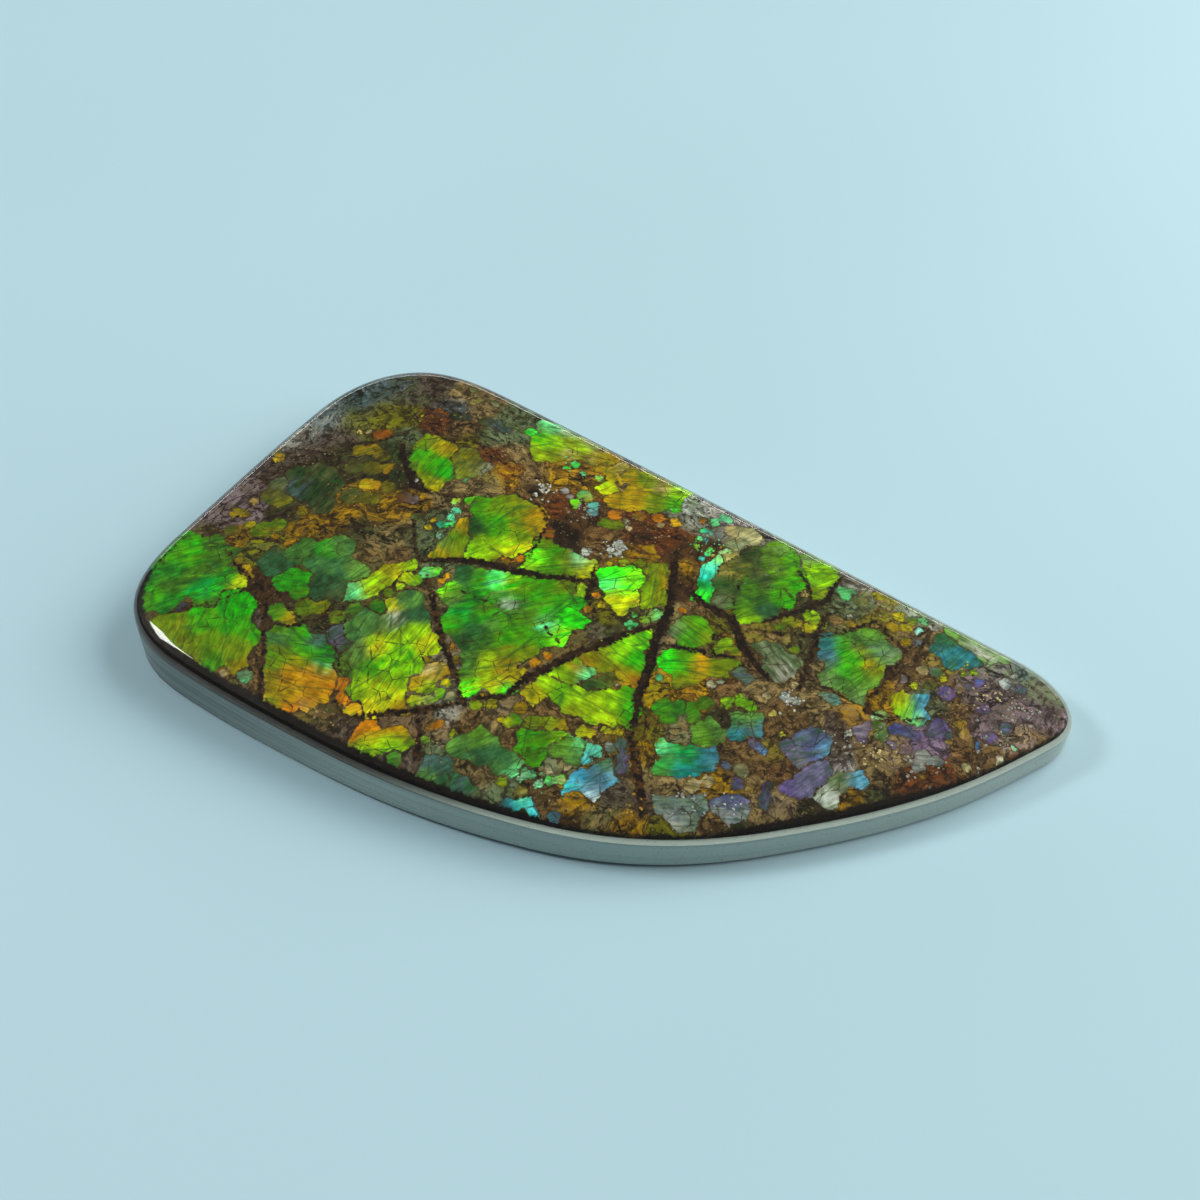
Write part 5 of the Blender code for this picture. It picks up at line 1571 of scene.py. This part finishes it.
class AMMOLITE_OT_stage(bpy.types.Operator):
    """Add the floor, the soft light and the camera"""

    bl_idname = "ammolite.stage"
    bl_label = "Stage"

    def execute(self, context):
        stage = context.scene.ammolite_stage
        self.add_floor(stage)
        self.add_lights(stage)
        self.add_camera(context)
        self.set_surroundings(context, stage)
        return {"FINISHED"}

    def add_floor(self, stage):
        shape = bmesh.new()
        bmesh.ops.create_grid(shape, x_segments=8, y_segments=8, size=FLOOR_REACH)
        mesh = bpy.data.meshes.new("floor")
        shape.to_mesh(mesh)
        shape.free()
        mesh.materials.append(floor_material(stage))
        linked("floor", mesh)

    def add_lights(self, stage):
        for name, place, (breadth, height), colour, shows in LIGHTS:
            light = bpy.data.lights.new(f"{name}_light", "AREA")
            light.energy = getattr(stage, f"{name}_power")
            light.size = breadth
            light.color = colour
            if height != breadth:
                light.shape = "RECTANGLE"
                light.size_y = height
            lamp = linked(light.name, light)
            lamp.location = place
            lamp.rotation_euler = (-Vector(place)).to_track_quat("-Z", "Y").to_euler()
            lamp.visible_glossy = shows

    def add_camera(self, context):
        outline, shift = outline_and_shift()
        aim = Vector((*(np.array(VIEW_AIM) + shift), 0.0)) * MM
        level = math.cos(VIEW_ELEVATION)
        away = Vector((level * math.sin(VIEW_TURN), -level * math.cos(VIEW_TURN),
                       math.sin(VIEW_ELEVATION)))
        lens = bpy.data.cameras.new("camera")
        lens.angle = VIEW_ANGLE
        lens.clip_start = 0.005
        camera = bpy.data.objects.new("camera", lens)
        camera.location = aim + away * VIEW_DISTANCE * MM
        camera.rotation_euler = (-away).to_track_quat("-Z", "Y").to_euler()
        context.scene.collection.objects.link(camera)
        context.scene.camera = camera

    def set_surroundings(self, context, stage):
        world = bpy.data.worlds.new("studio")
        world.use_nodes = True
        background = world.node_tree.nodes["Background"]
        background.inputs["Color"].default_value = (*stage.sky, 1.0)
        background.inputs["Strength"].default_value = SKY_STRENGTH
        context.scene.world = world
        context.scene.view_settings.view_transform = "Standard"


class AMMOLITE_OT_shale(bpy.types.Operator):
    """Add the shale backing"""

    bl_idname = "ammolite.shale"
    bl_label = "Shale Backing"

    def execute(self, context):
        plate = context.scene.ammolite_plate
        outline, shift = outline_and_shift()
        rings = self.rings(outline, plate)
        count = len(outline)
        places = np.concatenate([points for points, band in rings])
        bands = np.repeat([band for points, band in rings], count)
        order = [np.arange(start, start + count) for start in range(0, len(places), count)]
        faces = []
        for lower, upper in zip(order, order[1:]):
            faces += strip(lower, upper)
        faces += [tuple(int(corner) for corner in order[0][::-1])]
        faces += [tuple(int(corner) for corner in order[-1])]
        mesh = bpy.data.meshes.new("shale_backing")
        mesh.from_pydata((places * MM).tolist(), [], faces)
        store(mesh, "band", "FLOAT", "POINT", bands)
        mesh.materials.append(shale_material(context.scene.ammolite_shale))
        piece = linked("shale_backing", mesh)
        close_and_smooth(piece, SHALE_SHARP)
        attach(piece, BODY)
        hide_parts("shale_base")
        return {"FINISHED"}

    def rings(self, outline, plate):
        """Rings from the underside up the laminated side to the flat top inside the rim."""
        foot = plate.foot_height / MM
        lean = plate.wall_lean / MM
        bond = plate.bond_gap / MM
        rings = []
        for step, band in ((0.0, 0.0), (0.15, 0.5), (1.0, 1.0)):
            distance = plate.foot_inset / MM + (lean - plate.foot_inset / MM) * step
            rings.append((self.lifted(inset(outline, distance), foot * step), band))
        for layer in range(1, WALL_LAYERS + 1):
            share = layer / WALL_LAYERS
            ledge = 0.012 * noise.noise((layer * 1.7, 0.0, 4.0))
            points = inset(outline, lean * (1 - share) + abs(ledge))
            wall = wall_level(points[:, 0], plate)
            rings.append((self.lifted(points, foot + (wall - foot) * share), 1 + share))
        for distance, height, band in ((0.0, 0.5, 2.1), (0.0, 1.0, 2.3), (0.03, 1.06, 2.6),
                                       (0.6, 1.06, 3.0)):
            points = inset(outline, distance)
            rings.append((self.lifted(points, wall_level(points[:, 0], plate) + bond * height), band))
        return rings

    def lifted(self, points, height):
        return np.column_stack([points, np.broadcast_to(height, len(points))])


class AMMOLITE_OT_nacre(bpy.types.Operator):
    """Add the nacre mosaic with its veins"""

    bl_idname = "ammolite.nacre"
    bl_label = "Nacre Mosaic"

    def execute(self, context):
        plate = context.scene.ammolite_plate
        nacre = context.scene.ammolite_nacre
        outline, shift = outline_and_shift()
        edge = inset(outline, plate.nacre_depth / MM)
        sites, reaches, owner = mosaic_sites(outline, shift, plate)
        lines = borders(sites, reaches, owner)
        places, triangles = sheet_triangles(edge, lines, nacre.spacing / MM)
        nearest, border, powers = nearest_sites(places, sites, reaches, owner)
        centres = places[triangles].mean(axis=1)
        face_site = nearest_sites(centres, sites, reaches, owner)[0]
        distance, along = distance_to_course(places, np.vstack([outline, outline[:1]]))
        vein, brownness = vein_field(places, outline, shift, plate)
        # How far inside the black edge each point is; the near-side width is painted dark reflection
        rim = distance - plate.nacre_depth / MM - black_edge_and_reflection_width(places, shift)
        mesh = self.sheet_mesh(places, triangles, edge)
        self.paint_ground(mesh, places, sites, reaches, owner, nacre)
        self.paint_fragments(mesh, places, sites, reaches, owner, face_site, nacre)
        self.mark_borders(mesh, reaches, owner, face_site, border, powers)
        start = plate.nacre_depth / MM
        held = smooth_step(distance, start, start + EDGE_CALM)
        lift = self.relief(places, sites, owner, nearest, border, vein, held, nacre)
        places = places + wandering(places, nacre.waviness / MM) * held[:, None]
        self.place_vertices(mesh, places, edge)
        self.store_measures(mesh, places, outline, distance, lift, plate)
        store_padded(mesh, "vein", vein, 9.0)
        store_padded(mesh, "brownness", brownness, 0.0)
        # The upright edge gets the same black edge and painted dark reflection
        edge_rim = -black_edge_and_reflection_width(edge, shift)
        store(mesh, "rim", "FLOAT", "POINT", np.concatenate([rim, edge_rim]))
        piece = linked("nacre_mosaic", mesh)
        raise_dome(piece, plate, nacre_material(nacre))
        close_and_smooth(piece, NACRE_SHARP)
        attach(piece, BODY)
        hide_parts("ammolite_layer")
        return {"FINISHED"}

    def store_measures(self, mesh, places, outline, distance, lift, plate):
        """What the polished dome is worked out from; the upright edge stands under its rim."""
        store_padded(mesh, "rim_distance", distance * MM, plate.nacre_depth)
        store_padded(mesh, "reach", reach_from_centre(places, outline), 1.0)
        store_padded(mesh, "drop", np.full(len(places), plate.nacre_depth), 0.0)
        store_padded(mesh, "domed", np.ones(len(places)), 0.0)
        store_padded(mesh, "lift", lift * MM, 0.0)

    def sheet_mesh(self, places, triangles, edge):
        """The sheet's triangles with an upright edge and a flat underside."""
        count = len(places)
        ring = [int(np.argmin(np.linalg.norm(places - point, axis=1))) for point in edge]
        below = list(range(count, count + len(edge)))
        faces = [tuple(int(corner) for corner in face) for face in triangles]
        faces += strip(below, ring)
        faces.append(tuple(below[::-1]))
        mesh = bpy.data.meshes.new("nacre_mosaic")
        mesh.from_pydata([(0, 0, 0)] * (count + len(edge)), [], faces)
        return mesh

    def place_vertices(self, mesh, places, edge):
        flat = np.vstack([places, edge]) * MM
        corners = np.column_stack([flat, np.zeros(len(flat))])
        mesh.vertices.foreach_set("co", corners.ravel())

    def relief(self, places, sites, owner, nearest, border, vein, held, nacre):
        """Seams cut between fragments, and each fragment tilted a little its own way."""
        generator = np.random.default_rng(nacre.seed + 1)
        tilts = generator.uniform(-TILT, TILT, size=(owner.max() + 1, 2))
        tilts[-1] = 0.0
        offset = places - sites[nearest]
        tilt = (offset * tilts[owner[nearest]]).sum(axis=1) * smooth_step(border, 0.0, TILT_START)
        depth = nacre.groove / MM
        seam = -depth * (1 - smooth_step(border, 0.0, SEAM_WIDTH))
        trench = -depth * (1 - smooth_step(vein, *VEIN_SLOPE))
        return np.clip(tilt + np.minimum(seam, trench), *RELIEF_LIMITS) * held

    def paint_ground(self, mesh, places, sites, reaches, owner, nacre):
        """The ground's two tones and the run of its striae, blended between its places."""
        ground = owner == owner.max()
        middles = sites[ground]
        spread = (reaches[ground] * 0.8) ** 2
        moved = places + wandering(places, GROUND_WANDER)
        apart = ((moved[:, None, :] - middles[None, :, :]) ** 2).sum(axis=2)
        weights = np.exp(-apart / spread)
        weights += 1e-6 / (apart + 0.01) ** 3
        weights /= weights.sum(axis=1, keepdims=True)
        dark = np.array([(*getattr(nacre, row[3]), 1.0) for row in MATRIX])
        light = np.array([(*getattr(nacre, row[4]), 1.0) for row in MATRIX])
        leans = np.radians([row[5] + 90.0 for row in MATRIX]) + VIEW_TURN
        count = len(mesh.vertices)
        store(mesh, "ground_dark", "FLOAT_COLOR", "POINT", padded(weights @ dark, count, 0.02))
        store(mesh, "ground_light", "FLOAT_COLOR", "POINT", padded(weights @ light, count, 0.02))
        run = weights @ headings(leans)
        run /= np.maximum(np.linalg.norm(run, axis=1, keepdims=True), 1e-3)
        store(mesh, "ground_run", "FLOAT_VECTOR", "POINT", padded(run, count, 0.0))

    def corners(self, mesh, owner, face_site):
        """For each corner of each face: its vertex and the fragment that the face belongs to."""
        totals = np.zeros(len(mesh.polygons), dtype=int)
        mesh.polygons.foreach_get("loop_total", totals)
        vertex_of = np.zeros(len(mesh.loops), dtype=int)
        mesh.loops.foreach_get("vertex_index", vertex_of)
        face_owner = padded(owner[face_site], len(totals), owner.max())
        return vertex_of, np.repeat(face_owner, totals)

    def paint_fragments(self, mesh, places, sites, reaches, owner, face_site, nacre):
        """Colours blended between each fragment's places, and the lean of its streaks."""
        vertex_of, corner_owner = self.corners(mesh, owner, face_site)
        rows = [row for lean, own_rows in FRAGMENTS for row in own_rows]
        tones = np.array([(*getattr(nacre, row[3]), *getattr(nacre, row[4])) for row in rows])
        count = len(mesh.vertices)
        moved = padded(places, count, 99.0)[vertex_of]
        moved = moved + padded(wandering(places, COLOUR_WANDER), count, 0.0)[vertex_of]
        painted = np.zeros((len(moved), 6))
        for number in range(len(FRAGMENTS)):
            inside = corner_owner == number
            own = owner == number
            power = ((moved[inside][:, None, :] - sites[own][None, :, :]) ** 2).sum(axis=2)
            power -= reaches[own] ** 2
            weights = np.exp(-(power - power.min(axis=1, keepdims=True)) / COLOUR_BLEND)
            weights /= weights.sum(axis=1, keepdims=True)
            painted[inside] = weights @ tones[own[:len(rows)]]
        limits, means = fragment_reaches(reaches, owner)
        limit = limits[corner_owner]
        pebble = (limit < limits[:-1].max()) & (corner_owner < owner.max())
        painted += (np.tile(nacre.umber, 2) - painted) * (pebble[:, None] * PEBBLE_DULLING)
        for name, colours in (("ground", painted[:, :3]), ("streaks", painted[:, 3:])):
            four_parts = np.column_stack([colours, np.zeros(len(colours))])
            store(mesh, name, "FLOAT_COLOR", "CORNER", four_parts)
        leans = np.radians([lean + 90.0 for lean, own_rows in FRAGMENTS] + [0.0]) + VIEW_TURN
        chance = np.random.default_rng(nacre.seed + 2).uniform(size=len(leans))
        store(mesh, "stacked", "FLOAT_VECTOR", "CORNER", headings(leans)[corner_owner])
        store(mesh, "chance", "FLOAT", "CORNER", chance[corner_owner])

    def mark_borders(self, mesh, reaches, owner, face_site, border, powers):
        """How far inside its fragment each corner is; the ground counts as outside."""
        vertex_of, corner_owner = self.corners(mesh, owner, face_site)
        limits, means = fragment_reaches(reaches, owner)
        limit = limits[corner_owner]
        count = len(mesh.vertices)
        cover = limit - padded(powers, count, 9.0)[vertex_of]
        cover /= 2 * np.sqrt(limit + means[corner_owner] ** 2)
        inside = np.minimum(padded(border, count, 0.0)[vertex_of], cover)
        outside = -np.abs(padded(border, count, 0.5)[vertex_of])
        edge = np.where(corner_owner == owner.max(), outside, inside)
        store(mesh, "border", "FLOAT", "CORNER", edge)


class AMMOLITE_OT_grains(bpy.types.Operator):
    """Add the pale crystals and bright flakes that lie on the nacre"""

    bl_idname = "ammolite.grains"
    bl_label = "Crystal Grains"

    def execute(self, context):
        plate = context.scene.ammolite_plate
        nacre = context.scene.ammolite_nacre
        outline, shift = outline_and_shift()
        rows = self.strewn(nacre)
        places = laid(rows[:, :2], outline, shift, plate)
        distance, along = distance_to_course(places, np.vstack([outline, outline[:1]]))
        kept = (distance > GRAIN_CLEARANCE) & (reach_from_centre(places, outline) < 1)
        rows, places, distance = rows[kept], places[kept], distance[kept]
        mesh = bpy.data.meshes.new("crystal_grains")
        flat = np.column_stack([places, np.zeros(len(places))]) * MM
        mesh.from_pydata(flat.tolist(), [], [])
        for name, values in (("rim_distance", distance * MM), ("domed", np.ones(len(places))),
                             ("reach", reach_from_centre(places, outline)), ("lift", distance * 0),
                             ("drop", np.full(len(places), plate.nacre_depth)),
                             ("grain_size", rows[:, 2] * MM)):
            store(mesh, name, "FLOAT", "POINT", values)
        colours = np.column_stack([rows[:, 3:6], np.ones(len(rows))])
        store(mesh, "grain_colour", "FLOAT_COLOR", "POINT", colours)
        store(mesh, "grain_turn", "FLOAT_VECTOR", "POINT", rows[:, 6:9])
        piece = linked("crystal_grains", mesh)
        material = grain_material(nacre)
        raise_dome(piece, plate, material)
        run_tree(piece, crystal_tree(), {"Flatness": GRAIN_FLATNESS, "Material": material})
        close_and_smooth(piece, GRAIN_SHARP)
        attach(piece, BODY)
        return {"FINISHED"}

    def strewn(self, nacre):
        """A row for each grain: its place, size, colour and turn."""
        generator = np.random.default_rng(nacre.seed + 3)
        rows = []
        for x, y, spread, count, size, colour in GRAINS:
            for grain in range(count):
                away = generator.normal(size=2) * spread * 0.6
                rows.append((x + away[0], y + away[1], size * generator.uniform(0.5, 1.5),
                             *getattr(nacre, colour), *generator.uniform(0, math.tau, size=3)))
        return np.array(rows)


class AMMOLITE_OT_cap(bpy.types.Operator):
    """Add the clear polished cap"""

    bl_idname = "ammolite.cap"
    bl_label = "Clear Cap"

    def execute(self, context):
        plate = context.scene.ammolite_plate
        outline, shift = outline_and_shift()
        thickness = plate.cap_thickness / MM
        run = plate.shoulder_run / MM
        rings = DomeRings(outline)
        bottom = rings.middle(run, thickness)
        rings.shoulder_and_dome(thickness, run, thickness, HOLLOW_SHOULDER_RINGS, outwards=True)
        mouth = inset(outline, thickness)
        rings.ring(mouth, thickness, rings.reach(mouth), 0.0, domed=0.0)
        rings.shoulder_and_dome(0.0, run, POLISH, POLISHED_SHOULDER_RINGS, outwards=False)
        top = rings.middle(run, POLISH)
        faces = fan(rings.rings[0], bottom, flip=True)
        for lower, upper in zip(rings.rings, rings.rings[1:]):
            faces += strip(lower, upper)
        faces += fan(rings.rings[-1], top)
        mesh = rings.mesh("polished_cap", faces)
        piece = linked("polished_cap", mesh)
        raise_dome(piece, plate, cap_material())
        close_and_smooth(piece, CAP_SHARP)
        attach(piece, BODY)
        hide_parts("clear_cap")
        return {"FINISHED"}


class AMMOLITE_PT_panel(bpy.types.Panel):
    bl_idname = "AMMOLITE_PT_panel"
    bl_label = "Ammolite Specimen"
    bl_space_type = "VIEW_3D"
    bl_region_type = "UI"
    bl_category = "Ammolite"

    def draw(self, context):
        for operator in OPERATORS:
            self.layout.operator(operator.bl_idname)


OPERATORS = (AMMOLITE_OT_stage, AMMOLITE_OT_shale, AMMOLITE_OT_nacre, AMMOLITE_OT_grains,
             AMMOLITE_OT_cap)
SETTINGS = {
    "ammolite_plate": PlateSettings,
    "ammolite_nacre": NacreSettings,
    "ammolite_shale": ShaleSettings,
    "ammolite_stage": StageSettings,
}


def register():
    for kind in (*SETTINGS.values(), *OPERATORS, AMMOLITE_PT_panel):
        bpy.utils.register_class(kind)
    for name, settings in SETTINGS.items():
        setattr(bpy.types.Scene, name, PointerProperty(type=settings))


def unregister():
    for name in SETTINGS:
        delattr(bpy.types.Scene, name)
    for kind in (AMMOLITE_PT_panel, *OPERATORS[::-1], *list(SETTINGS.values())[::-1]):
        bpy.utils.unregister_class(kind)


def main():
    register()
    bpy.ops.ammolite.stage()
    bpy.ops.ammolite.shale()
    bpy.ops.ammolite.nacre()
    bpy.ops.ammolite.grains()
    bpy.ops.ammolite.cap()


if __name__ == "__main__":
    main()
